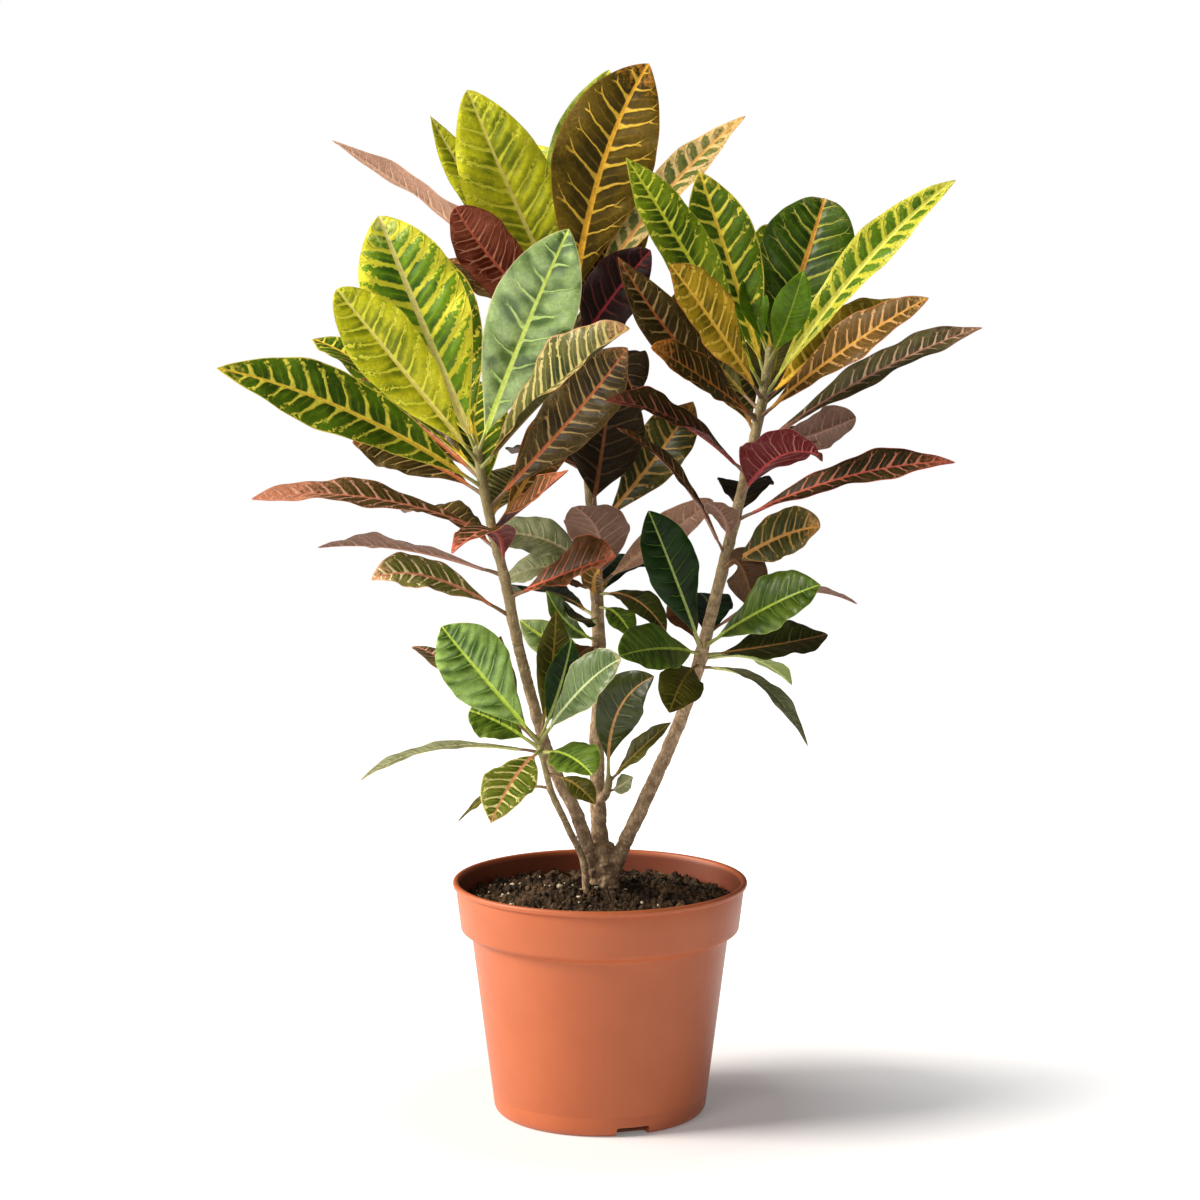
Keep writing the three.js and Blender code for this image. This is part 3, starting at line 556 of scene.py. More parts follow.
class Paint(Enum):
    """The leaves of this plant, from gold through bronze to near-black and plain green."""

    GOLD = LeafPaint(
        "gold and green croton leaf", "gold_leaf", Back.LIGHT_GREEN,
        "#3e6b08", "#7ea813", "#fff93e", "#fff08c", "#fff149", "#ffff8c", 0.84,
        spacing=13.5, vein_width=0.1, reach=1.1, spread=0.13, spread_edge=0.34, midrib_width=6.0,
        margin_width=1.6, fine=0.15, wax=0.35, quilt=1.8,
    )
    LIME = LeafPaint(
        "lime croton leaf", "gold_leaf", Back.LIGHT_GREEN,
        "#7e8b07", "#d4d31f", "#fbf846", "#fff078", "#d9d53e", "#f6f346", 0.9,
        spacing=12.5, vein_width=0.08, reach=0.9, spread=0.06, spread_edge=0.05, midrib_width=3.6,
        fine=0.2, wax=0.15, quilt=1.8,
    )
    SILVER_LIME = LeafPaint(
        "grey green croton leaf", "gold_leaf", Back.LIGHT_GREEN,
        "#4a6a26", "#a4c074", "#ccea80", "#e0f566", "#d9d090", "#c3dd74", 0.95,
        spacing=18.0, vein_width=0.05, reach=0.78, midrib_width=3.8, fine=0.04, net=0.08, gloss=0.3,
        wax=0.6, quilt=1.3,
    )
    CREAM_EDGED = LeafPaint(
        "cream veined croton leaf", "gold_leaf", Back.OLIVE,
        "#2e3712", "#62602c", "#c4b672", "#c89c4c", "#c09464", "#c89068", 0.82,
        spacing=9.5, vein_width=0.12, reach=0.95, spread=0.08, spread_edge=0.1, midrib_width=3.8,
        margin_width=1.4, fine=0.4,
    )
    YELLOW_BARRED = LeafPaint(
        "yellow croton leaf with green bars", "gold_leaf", Back.LIGHT_GREEN,
        "#3e6004", "#587a0a", "#c0be37", "#d0cd56", "#cec945", "#e1db5b", 0.86,
        spacing=12.0, vein_width=0.12, reach=1.2, spread=0.17, spread_edge=0.16, midrib_width=6.0,
        margin_width=3.0, fine=0.15,
    )
    CREAM_BARRED = LeafPaint(
        "cream croton leaf with green bars", "gold_leaf", Back.ROSY,
        "#4c6024", "#6c7333", "#d9bb79", "#ddaa5c", "#e1bb75", "#e5af6d", 0.8,
        spacing=12.0, vein_width=0.12, reach=1.2, spread=0.17, spread_edge=0.2, midrib_width=5.5,
        margin_width=2.6, fine=0.15,
    )
    GREEN_GOLD = LeafPaint(
        "dark green croton leaf with yellow veins", "gold_leaf", Back.LIGHT_GREEN,
        "#2f4904", "#4f6d0a", "#e5d949", "#f0ce45", "#d2be45", "#e5cc52", 0.9,
        spacing=13.0, vein_width=0.11, spread=0.01, spread_edge=0.04, midrib_width=3.8,
        margin_width=0.9, fine=0.12, net=0.06,
    )
    GREEN_LIME = LeafPaint(
        "dark green croton leaf with lime veins", "gold_leaf", Back.LIGHT_GREEN,
        "#415c07", "#7c9312", "#f4f54f", "#e5e93e", "#b4bc42", "#dbdb4a", 0.92,
        spacing=11.0, vein_width=0.08, reach=0.9, spread=0.01, spread_edge=0.05, midrib_width=3.6,
        fine=0.35, net=0.12,
    )
    LIME_SPECKLED = replace(
        GREEN_LIME, name="light green speckled croton leaf", ground="#5a7c12", flush_and_sheen="#8aa832",
        vein="#c0c45c", net=0.4, spread_edge=0.2,
    )
    GREEN_ORANGE = LeafPaint(
        "dark green croton leaf with an orange midrib", "gold_leaf", Back.OLIVE,
        "#243d03", "#3e5b06", "#c6c64b", "#e1a03f", "#5d6f1e", "#b9903f", 0.96,
        spacing=14.5, vein_width=0.06, midrib_width=5.0, margin_width=0.6, fine=0.2, net=0.12,
        gloss=0.38, wax=0.15, quilt=1.5,
    )
    BRONZE = LeafPaint(
        "bronze croton leaf", "bronze_leaf", Back.OLIVE,
        "#3e3101", "#5c4804", "#dbb23c", "#e9af35", "#8c5d18", "#d28c37", 0.88,
        spacing=15.0, vein_width=0.07, reach=0.88, midrib_width=4.8, fine=0.15, gloss=0.46, wax=0.05,
    )
    BRONZE_GOLD = LeafPaint(
        "golden bronze croton leaf", "bronze_leaf", Back.OLIVE,
        "#736007", "#bb971a", "#f4cd4e", "#ffcb4a", "#ca753b", "#dc9745", 0.88,
        spacing=11.0, vein_width=0.11, reach=0.9, spread=0.04, spread_edge=0.05, midrib_width=3.6,
        fine=0.35, net=0.15, gloss=0.46, wax=0.05,
    )
    BRONZE_BROWN = LeafPaint(
        "brown croton leaf with amber veins", "bronze_leaf", Back.OLIVE,
        "#4e3a0c", "#644818", "#c4945a", "#c8923e", "#a86c3c", "#cda05c", 0.9,
        vein_width=0.1, spread=0.01, midrib_width=3.2, margin_width=0.8, fine=0.25, gloss=0.46,
        wax=0.05,
    )
    ORANGE_TIPPED = LeafPaint(
        "orange tipped croton leaf", "bronze_leaf", Back.RUST,
        "#2f240a", "#3d3112", "#b77d3d", "#c68239", "#c67a3d", "#f69739", 0.78,
        spacing=8.0, vein_width=0.11, reach=0.9, midrib_width=2.6, margin_width=0.8,
    )
    ROSE = LeafPaint(
        "olive croton leaf with rose veins", "dark_leaf", Back.MAROON,
        "#3a310c", "#54421c", "#cc947c", "#c4785c", "#b07050", "#c48062", 0.6,
        vein_width=0.1, reach=0.9, spread=0.02, margin_width=0.9, gloss=0.46,
    )
    DUSKY_ROSE = LeafPaint(
        "dusky croton leaf with pink veins", "dark_leaf", Back.MAUVE,
        "#40391d", "#57502c", "#bb9e7e", "#a87462", "#8c6656", "#8a6450", 0.8,
        spacing=10.5, vein_width=0.09, gloss=0.48, wax=0.05,
    )
    PINK_BACKED = replace(DUSKY_ROSE, name="dusky croton leaf with a pink back", back=Back.PINK)
    DARK_RED_VEINED = LeafPaint(
        "near-black croton leaf with red veins", "dark_leaf", Back.MAROON,
        "#28250d", "#403414", "#c2795f", "#cc6853", "#c06251", "#ca6a50", 0.8,
        vein_width=0.1, reach=0.88, midrib_width=2.8, margin_width=0.9, fine=0.25, net=0.15,
    )
    CORAL = LeafPaint(
        "olive brown croton leaf with coral veins", "dark_leaf", Back.MAROON,
        "#372909", "#563716", "#aa6244", "#b85637", "#b46242", "#bc6c4c", 0.8,
        spacing=8.5, vein_width=0.1, reach=0.95, midrib_width=2.8, margin_width=0.9,
    )
    SALMON_RIB = LeafPaint(
        "green croton leaf with a salmon midrib", "olive_leaf", Back.ROSY,
        "#61641f", "#828040", "#ffefb7", "#f49f79", "#d3a474", "#efad87", 0.78,
        vein_width=0.11, reach=0.75, spread=0.03, margin_width=0.9,
    )
    MAROON = LeafPaint(
        "maroon croton leaf", "dark_leaf", Back.MAROON,
        "#6a220e", "#a8543a", "#eb9e7a", "#e16f53", "#8c3a2a", "#a64e39", 0.85,
        spacing=9.5, vein_width=0.08, reach=0.95, fine=0.35, net=0.2,
    )
    CRIMSON_BACKED = replace(MAROON, name="maroon croton leaf with a crimson back", back=Back.CRIMSON)
    NEAR_BLACK = LeafPaint(
        "near-black maroon croton leaf", "dark_leaf", Back.MAROON,
        "#0f0201", "#160402", "#4c1e1a", "#761f24", "#38120e", "#46181a", 0.9,
        vein_width=0.07, reach=0.9, midrib_width=2.8, fine=0.2, gloss=0.46, wax=0.0,
    )
    BLACK_OLIVE = LeafPaint(
        "black olive croton leaf", "dark_leaf", Back.BROWN,
        "#181104", "#261c0a", "#54402a", "#805030", "#3c2a14", "#4a3420", 0.9,
        spacing=12.0, vein_width=0.07, reach=0.9, fine=0.2, gloss=0.46, wax=0.0,
    )
    OLIVE_RUST = LeafPaint(
        "olive croton leaf with a rust midrib", "olive_leaf", Back.MAUVE,
        "#2b2005", "#483913", "#ac8e57", "#b46437", "#6f4e2a", "#976439", 0.85,
        spacing=11.0, vein_width=0.08, net=0.15, gloss=0.46,
    )
    OLIVE_AMBER = LeafPaint(
        "olive croton leaf with amber veins", "olive_leaf", Back.OLIVE,
        "#262a06", "#3a3c0e", "#9c7c3c", "#b4803c", "#8a6430", "#a07038", 0.8,
        vein_width=0.1, spread=0.01,
    )
    OLIVE_PLAIN = LeafPaint(
        "plain olive croton leaf", "olive_leaf", Back.OLIVE,
        "#363607", "#504d13", "#716921", "#90782e", "#5c541a", "#6f5a21", 0.9,
        spacing=9.0, vein_width=0.07, reach=0.8, midrib_width=2.2, fine=0.2, gloss=0.44,
    )
    RED_BROWN = LeafPaint(
        "red brown croton leaf", "olive_leaf", Back.BROWN,
        "#4c2e1a", "#644026", "#7c5236", "#945c40", "#5e3c24", "#7a4c30", 0.9,
        spacing=7.0, vein_width=0.08, reach=0.8, midrib_width=2.0, fine=0.2, gloss=0.44,
    )
    GREEN_QUILTED = LeafPaint(
        "mid green croton leaf", "green_leaf", Back.LIGHT_GREEN,
        "#344e09", "#586f1e", "#6d8e2e", "#b6cd4b", "#879b3f", "#769233", 0.95,
        vein_width=0.05, reach=0.8, midrib_width=2.6, margin_width=0.5, fine=0.08, net=0.08, gloss=0.36,
        wax=0.25, quilt=1.8,
    )
    GREEN_BRIGHT = LeafPaint(
        "glossy bright green croton leaf", "green_leaf", Back.LIGHT_GREEN,
        "#406609", "#9fc25c", "#a8cb54", "#e1fc58", "#b2c654", "#9fc243", 0.95,
        spacing=11.0, vein_width=0.05, reach=0.8, margin_width=0.5, fine=0.08, net=0.08, gloss=0.32,
        wax=0.5, quilt=2.4,
    )
    GREEN_DARK = LeafPaint(
        "dark green croton leaf", "green_leaf", Back.LIGHT_GREEN,
        "#0c1e02", "#173006", "#34540e", "#98a858", "#3c5818", "#3c5818", 0.95,
        vein_width=0.05, reach=0.8, midrib_width=2.2, margin_width=0.4, fine=0.08, net=0.06, gloss=0.38,
        wax=0.05,
    )
    GREEN_TAN = LeafPaint(
        "dark green croton leaf with a tan midrib", "green_leaf", Back.OLIVE,
        "#212906", "#333c0d", "#585c27", "#b4844b", "#544f1c", "#645825", 0.92,
        spacing=9.5, vein_width=0.06, midrib_width=2.2, margin_width=0.4, fine=0.1, gloss=0.34,
        wax=0.25,
    )
    GREY_GREEN = LeafPaint(
        "grey green young croton leaf", "green_leaf", Back.LIGHT_GREEN,
        "#42562a", "#627448", "#7a8c55", "#bcc88c", "#a4a068", "#a89860", 0.9,
        spacing=9.0, vein_width=0.06, reach=0.8, midrib_width=2.2, margin_width=0.6, fine=0.15,
        net=0.15, gloss=0.36, wax=0.35, quilt=1.8,
    )
    GREEN_CREAM = LeafPaint(
        "green croton leaf with cream bars", "green_leaf", Back.LIGHT_GREEN,
        "#465a0e", "#66701c", "#d0c47c", "#ca8a5c", "#c0b070", "#cfa06c", 0.9,
        spacing=8.5, vein_width=0.12, spread=0.02, midrib_width=2.8, margin_width=0.8, fine=0.2,
        quilt=1.4,
    )
    SPRING = LeafPaint(
        "young spring green croton leaf", "green_leaf", Back.LIGHT_GREEN,
        "#466604", "#56780a", "#66861a", "#94ac30", "#7c9620", "#7c9820", 0.95,
        spacing=7.0, vein_width=0.05, reach=0.8, midrib_width=1.6, margin_width=0.4, fine=0.15,
        gloss=0.38,
    )
    SAGE = LeafPaint(
        "dull sage croton leaf", "olive_leaf", Back.LIGHT_GREEN,
        "#6b7048", "#8d916b", "#98986f", "#aba379", "#958d6b", "#918660", 0.92,
        spacing=9.0, vein_width=0.06, midrib_width=2.4, fine=0.2, gloss=0.46,
    )


@dataclass(frozen=True)
class StalkSkin:
    """The smooth round stalk of a leaf, fleshy and a little glossy.

    Attributes:
        name: What it is called.
        foot: Colour where it leaves the stem.
        top: Colour where the blade begins.
    """

    name: str
    foot: str
    top: str

    @cache
    def material(self) -> Material:
        """Gives the material, which runs from one colour to the other along the stalk."""
        material, t = new_material(self.name)
        along = add(t, "Attribute", out=VALUE, attribute_name="along")
        here = add(t, "TexCoord", out="Object")
        spots = add(t, "TexNoise", {"Vector": here, "Scale": 900.0, "Detail": 3.0})
        share = add(t, "Math MULTIPLY_ADD", [spots, 0.5, along])
        share = add(t, "MapRange", [share, 0.2, 1.1])
        hues = {0: share, MIX_A: self.foot, MIX_B: self.top}
        colour = add(t, "Mix", hues, MIX_COLOUR, data_type="RGBA")
        bump = add(t, "Bump", {"Strength": 0.4, "Distance": 0.2 * MM, "Height": spots})
        look = {"Base Color": colour, "Roughness": 0.45, "IOR": 1.45, "Normal": bump}
        add(t, "OutputMaterial", {"Surface": add(t, "BsdfPrincipled", look)})
        return material


GREEN_STALK = StalkSkin("pale green leaf stalk", "#8a8450", "#a8ac58")
BROWN_STALK = StalkSkin("brown leaf stalk", "#6e5638", "#8c6a48")


# ------------------------------------------------------------------ stems and leaves


@dataclass(frozen=True)
class Stem:
    """One woody stem: the points that its axis runs through and its radii, in millimetres.

    Attributes:
        path: The points, from foot to tip. They only rise.
        foot_radius: Radius at the foot.
        tip_radius: Radius at the tip.
        leafy_from: Level where its leafy length begins.
    """

    path: tuple[Point, ...]
    foot_radius: float
    tip_radius: float
    leafy_from: float

    def at(self, share: float) -> np.ndarray:
        """Gives the axis point at a share of the path.

        Args:
            share: From 0 at the foot to 1 at the tip.

        Returns:
            The point.
        """
        points = np.array(self.path, float)
        last = len(points) - 1
        step = min(int(share * last), last - 1)
        part = share * last - step
        here, there = points[step], points[step + 1]
        before = points[step - 1] if step > 0 else 2 * points[0] - points[1]
        after = points[step + 2] if step + 2 <= last else 2 * points[-1] - points[-2]
        leave, arrive = (there - before) / 2, (after - here) / 2
        return (
            (2 * here - 2 * there + leave + arrive) * part**3
            + (-3 * here + 3 * there - 2 * leave - arrive) * part**2
            + leave * part
            + here
        )

    def share_at(self, level: float) -> float:
        """Gives the share of the path at a level.

        Args:
            level: Height in millimetres.

        Returns:
            The share.
        """
        low, high = 0.0, 1.0
        for _ in range(40):
            middle = (low + high) / 2
            low, high = (middle, high) if self.at(middle)[2] < level else (low, middle)
        return (low + high) / 2

    def tangent(self, share: float) -> np.ndarray:
        """Gives the axis's direction at a share of the path.

        Args:
            share: From 0 to 1.

        Returns:
            A direction of length 1.
        """
        low, high = max(share - 0.004, 0.0), min(share + 0.004, 1.0)
        run = self.at(high) - self.at(low)
        return run / np.linalg.norm(run)

    def radius(self, share: float) -> float:
        """Gives the radius in millimetres at a share of the path."""
        return self.foot_radius + (self.tip_radius - self.foot_radius) * share


@dataclass(frozen=True)
class Leaf:
    """One leaf, in millimetres and degrees.

    Attributes:
        name: Its name on its stem.
        level: Height of its root on the stem.
        middle: Middle of its midrib.
        tip: Its tip.
        width: Its full width.
        facing: The way its upper face looks.
        fold: How far each half is folded up.
        paint: Its finish.
        blunt: How blunt its tip is, from 0, pointed, to about 0.5, round.
    """

    name: str
    level: float
    middle: Point
    tip: Point
    width: float
    facing: Point
    fold: float
    paint: Paint
    blunt: float = 0.0


@dataclass(frozen=True)
class LeafShape:
    """What all the leaves have in common, in millimetres.

    Attributes:
        stalk: Length of the stalk.
        longest_stalk: The most that it may be of the midrib's length.
        stalk_radius: Radius of the stalk.
        broadest: Power that sets where along the blade it is broadest.
        fullness: Power that sets how full the outline is.
        wave_height: Height of the edge's waves, of the width.
        waves: How many waves an edge has.
        wave_lag: How far the two edges' waves are apart, in waves.
        wave_shift: From one leaf of a stem to the next, in waves.
        thickness: Of the blade.
        quilt: How far the blade swells between its side veins, of the width.
    """

    stalk: float = 11.0
    longest_stalk: float = 0.3
    stalk_radius: float = 1.5
    broadest: float = 1.2
    fullness: float = 0.9
    wave_height: float = 0.05
    waves: float = 2.4
    wave_lag: float = 0.2
    wave_shift: float = 0.37
    thickness: float = 0.45
    quilt: float = 0.014


class LeafBuilder:
    """Shapes every leaf from one flat blank and one straight stalk."""

    LONG_STEPS, CROSS_STEPS = 72, 26
    SMALL_LONG_STEPS, SMALL_CROSS_STEPS = 44, 16
    SMALL_WIDTH = 25.0
    STALK_SIDES, STALK_RINGS = 10, 9
    AT_RIM = 0.9999  # shares past this lie on the rim
    CELL_SPREAD = 1.45  # power that makes the cells narrow at the midrib and wide at the edge

    def __init__(self, shape: LeafShape) -> None:
        """Models the blanks.

        Args:
            shape: What the leaves have in common.
        """
        self.shape = shape
        self.blank = self._blade_blank("blade_blank", self.LONG_STEPS, self.CROSS_STEPS)
        self.small = self._blade_blank("small_blank", self.SMALL_LONG_STEPS, self.SMALL_CROSS_STEPS)
        self.stalk = straight_rod("stalk_blank", self.STALK_SIDES, self.STALK_RINGS)

    def _blade_blank(self, name: str, steps: int, cells: int) -> Piece:
        """Models a flat blade, two skins that meet in a sharp edge all round.

        Args:
            name: The blank's name.
            steps: Faces along it.
            cells: Faces across it.

        Returns:
            The blank: 0 to 1 along X, -1 to 1 across Y, with its under skin below Z 0.
        """
        bpy.ops.mesh.primitive_grid_add(x_subdivisions=steps, y_subdivisions=cells, size=2)
        blank = added(name)
        with_modifier(blank, "SOLIDIFY", thickness=0.5, offset=-1.0)
        points = places(blank.data)
        rim = np.abs(points[:, :2]).max(axis=1) > self.AT_RIM
        points[:, 2] = np.where(rim, 0.0, np.sign(points[:, 2] + 0.25) * 0.5 - 0.5)
        points[:, 0] = (points[:, 0] + 1) / 2
        put(blank.data, points)
        bpy.ops.object.mode_set(mode="EDIT")
        bpy.ops.mesh.select_all(action="SELECT")
        bpy.ops.mesh.remove_doubles(threshold=0.0005)
        bpy.ops.mesh.normals_make_consistent(inside=False)
        bpy.ops.object.mode_set(mode="OBJECT")
        return blank

    def build(self, stem: Stem, leaf: Leaf, number: int) -> Piece:
        """Makes one leaf with its stalk.

        Args:
            stem: What it grows from.
            leaf: Its place, size and finish.
            number: Its place in its stem's list.

        Returns:
            The leaf.
        """
        root = stem.at(stem.share_at(leaf.level))
        middle, tip = np.array(leaf.middle, float), np.array(leaf.tip, float)
        curve = np.array([root, 2 * middle - 0.5 * (root + tip), tip])
        line = self._frames(curve, np.linspace(0, 1, 80), leaf.facing)[0]
        length = float(np.linalg.norm(np.diff(line, axis=0), axis=1).sum())
        stalk_share = min(self.shape.stalk / length, self.shape.longest_stalk)
        blade = self._blade(leaf, curve, length, stalk_share, number)
        stalk = self._stalk(leaf, curve, stalk_share)
        return joined(leaf.name, [blade, stalk])

    def _frames(
        self, curve: np.ndarray, place: np.ndarray, facing: Point
    ) -> tuple[np.ndarray, np.ndarray, np.ndarray]:
        """Gives the midrib's points with their side and upward directions.

        Args:
            curve: Root, bend and tip of the midrib.
            place: Shares of the midrib.
            facing: The way that the upper face looks.

        Returns:
            Points, side directions and upward directions, one row each.
        """
        p = place[:, None]
        point = (1 - p) ** 2 * curve[0] + 2 * p * (1 - p) * curve[1] + p**2 * curve[2]
        along = 2 * (1 - p) * (curve[1] - curve[0]) + 2 * p * (curve[2] - curve[1])
        along /= np.linalg.norm(along, axis=1, keepdims=True)
        look = np.array(facing, float)
        upper = look - (along @ look)[:, None] * along
        upper /= np.linalg.norm(upper, axis=1, keepdims=True)
        return point, np.cross(along, upper), upper

    def _blade(
        self, leaf: Leaf, curve: np.ndarray, length: float, stalk_share: float, number: int
    ) -> Piece:
        """Shapes a copy of the flat blank into a blade.

        Args:
            leaf: Its size and finish.
            curve: Root, bend and tip of its midrib.
            length: Length of the midrib.
            stalk_share: How much of the midrib is stalk.
            number: The leaf's place in its stem's list.

        Returns:
            The blade.
        """
        shape, paint = self.shape, leaf.paint.value
        blade = copied(self.small if leaf.width < self.SMALL_WIDTH else self.blank)
        flat = places(blade.data)
        along, layer = flat[:, 0], flat[:, 2]
        across = np.sign(flat[:, 1]) * np.abs(flat[:, 1]) ** self.CELL_SPREAD
        away, side = np.abs(across), np.where(across > 0, 1.0, -1.0)
        full = shape.fullness - leaf.blunt * along
        outline = np.sin(np.pi * np.clip(along, 0, 1) ** shape.broadest).clip(0) ** full
        least = 1.1 * (1 - along) + 0.25 * along
        half = np.maximum(leaf.width / 2 * outline, least)
        blade_length = length * (1 - stalk_share)
        from_rib = away * half

        # Side veins run out and forward, more steeply near the edge.
        slant = 0.62 + 0.16 * away**2
        count = max(5, round(blade_length / paint.spacing))
        row = count * (along - from_rib / blade_length * slant) + 3.1 * number
        swell = np.abs(np.sin(np.pi * (row + RIGHT_SHIFT * (side > 0) + GROOVE_SHIFT))) ** 1.4
        inside = ease(0.04, 0.2, away) * (1 - ease(0.78, 1.0, away)) * np.minimum(outline * 1.3, 1)
        quilt = shape.quilt * paint.quilt * leaf.width * swell * inside

        fold = math.radians(leaf.fold)
        soft_away = np.sqrt(across**2 + 0.0012) - 0.0346
        turns = shape.waves * along + shape.wave_shift * number + shape.wave_lag * side
        small_turns = 2.7 * shape.waves * along + 0.61 * number + 0.4 * side
        ripple, small = np.sin(2 * np.pi * turns), 0.3 * np.sin(2 * np.pi * small_turns)
        wave = shape.wave_height * leaf.width * outline * (ripple + small) * across**2
        lift = half * math.sin(fold) * soft_away + wave + quilt
        lift += 0.035 * half * np.sin(np.pi * away)
        ridge = np.exp(-((from_rib / 1.1) ** 2))
        upper_skin = shape.thickness / 2 + 0.3 * ridge * (1 - 0.6 * along)
        under_skin = shape.thickness / 2 + (1.2 * (1 - along) + 0.2) * ridge
        rim = (away > self.AT_RIM) | (along < 1 - self.AT_RIM) | (along > self.AT_RIM)
        skin = np.where(layer < -0.5, -under_skin, upper_skin) * np.where(rim, 0.0, 1.0)

        place = stalk_share + (1 - stalk_share) * along
        point, sideways, upper = self._frames(curve, place, leaf.facing)
        reach = half * math.cos(fold) * across
        shaped = point + sideways * reach[:, None] + upper * (lift + skin)[:, None]
        put(blade.data, shaped * MM)
        for name, values in (
            ("along", along), ("across", across), ("vein", row), ("rib_mm", from_rib),
            ("edge_mm", (1 - away) * half), ("seed", np.full(len(along), 0.173 * number + leaf.width)),
        ):
            note(blade.data, name, values)
        blade.data.materials.append(paint.material(Side.UPPER))
        blade.data.materials.append(paint.back.value.material())
        under = np.zeros(len(blade.data.polygons), np.int32)
        for face in blade.data.polygons:
            under[face.index] = int(any(layer[i] < -0.5 for i in face.vertices))
        blade.data.polygons.foreach_set("material_index", under)
        blade.data.shade_smooth()
        sharp = blade.data.attributes.new("sharp_edge", "BOOLEAN", "EDGE")
        on_rim = [rim[e.vertices[0]] and rim[e.vertices[1]] for e in blade.data.edges]
        sharp.data.foreach_set("value", np.array(on_rim, bool))
        return blade

    def _stalk(self, leaf: Leaf, curve: np.ndarray, stalk_share: float) -> Piece:
        """Bends a copy of the straight stalk between the stem and the blade.

        Args:
            leaf: The leaf.
            curve: Root, bend and tip of its midrib.
            stalk_share: How much of the midrib is stalk.

        Returns:
            The stalk.
        """
        stalk = copied(self.stalk)
        flat = places(stalk.data)
        along = flat[:, 2] + 0.5
        # It runs on under the blade's foot, and swells where it leaves the stem.
        place = along * stalk_share * 1.25
        point, sideways, upper = self._frames(curve, place, leaf.facing)
        size = self.shape.stalk_radius * min(1.0, 0.5 + leaf.width / 70)
        radius = size * (1 - 0.35 * along + 0.35 * np.exp(-((along / 0.16) ** 2)))
        sunk = -0.5 * ease(0.6, 1.0, along)
        shaped = point + sideways * (flat[:, 0] * radius)[:, None]
        shaped += upper * (flat[:, 1] * radius + sunk)[:, None]
        put(stalk.data, shaped * MM)
        note(stalk.data, "along", along)
        light = leaf.paint.value.slot in ("gold_leaf", "green_leaf")
        stalk.data.materials.append((GREEN_STALK if light else BROWN_STALK).material())
        stalk.data.shade_smooth()
        return stalk

    def clear_blanks(self) -> None:
        """Removes the blanks once every leaf is made."""
        for blank in (self.blank, self.small, self.stalk):
            bpy.data.objects.remove(blank)


@dataclass(frozen=True)
class Bark:
    """Croton bark: corky, grey-brown and warty on old wood, green and smoother on young wood.

    Attributes:
        name: What it is called.
        cork: Colour of the old bark.
        cracks: Colour in its cracks.
        flecks: Colour of the pale warts that let air in.
        young: Colour of the young wood.
    """

    name: str = "corky croton bark"
    cork: str = "#ceb08a"
    cracks: str = "#80644a"
    flecks: str = "#d4bc98"
    young: str = "#8c8450"

    @cache
    def material(self) -> Material:
        """Gives the bark's material, with the share of young wood read from the piece."""
        material, t = new_material(self.name)
        here = add(t, "TexCoord", out="Object")
        youth = add(t, "Attribute", out=VALUE, attribute_name="youth")
        # Cracks run along the stem, so the pattern is drawn out upwards.
        drawn = add(t, "Mapping", {"Vector": here, "Scale": (1.0, 1.0, 0.45)})
        cork = add(t, "TexNoise", {"Vector": drawn, "Scale": 420.0, "Detail": 6.0, "Roughness": 0.65})
        cracks = add(t, "TexVoronoi", {"Vector": drawn, "Scale": 480.0}, feature="DISTANCE_TO_EDGE")
        warts = add(t, "TexVoronoi", {"Vector": here, "Scale": 330.0})
        crack_mask = add(t, "MapRange", [cracks, 0.0, 0.16, 1.0, 0.0])
        broken = add(t, "MapRange", [cork, 0.42, 0.6])
        crack_mask = add(t, "Math MULTIPLY", [crack_mask, broken])
        wart_mask = add(t, "Math MULTIPLY_ADD", [cork, -0.9, warts])
        wart_mask = add(t, "MapRange", [wart_mask, -0.36, -0.2, 0.7, 0.0])
        # Flakes of cork about 6 mm across are paler or darker than the rest.
        flakes = add(t, "TexNoise", {"Vector": here, "Scale": 170.0})
        tone = add(t, "Math MULTIPLY_ADD", [flakes, 0.9, cork])
        tone = add(t, "MapRange", [tone, 0.75, 1.15])
        fresh = add(t, "Math MULTIPLY_ADD", [cork, 0.5, youth])
        fresh = add(t, "MapRange", [fresh, 0.45, 1.15])
        colour = self.cracks
        for mask, hue in (
            (tone, self.cork), (crack_mask, self.cracks), (fresh, self.young), (wart_mask, self.flecks)
        ):
            colour = add(t, "Mix", {0: mask, MIX_A: colour, MIX_B: hue}, MIX_COLOUR, data_type="RGBA")
        relief = add(t, "Math MULTIPLY_ADD", [crack_mask, -0.8, cork])
        relief = add(t, "Math MULTIPLY_ADD", [wart_mask, 0.5, relief])
        bump = add(t, "Bump", {"Strength": 0.9, "Distance": 0.5 * MM, "Height": relief})
        rough = add(t, "MapRange", [youth, 0.0, 1.0, 0.88, 0.6])
        look = {"Base Color": colour, "Roughness": rough, "IOR": 1.45, "Normal": bump}
        add(t, "OutputMaterial", {"Surface": add(t, "BsdfPrincipled", look)})
        return material


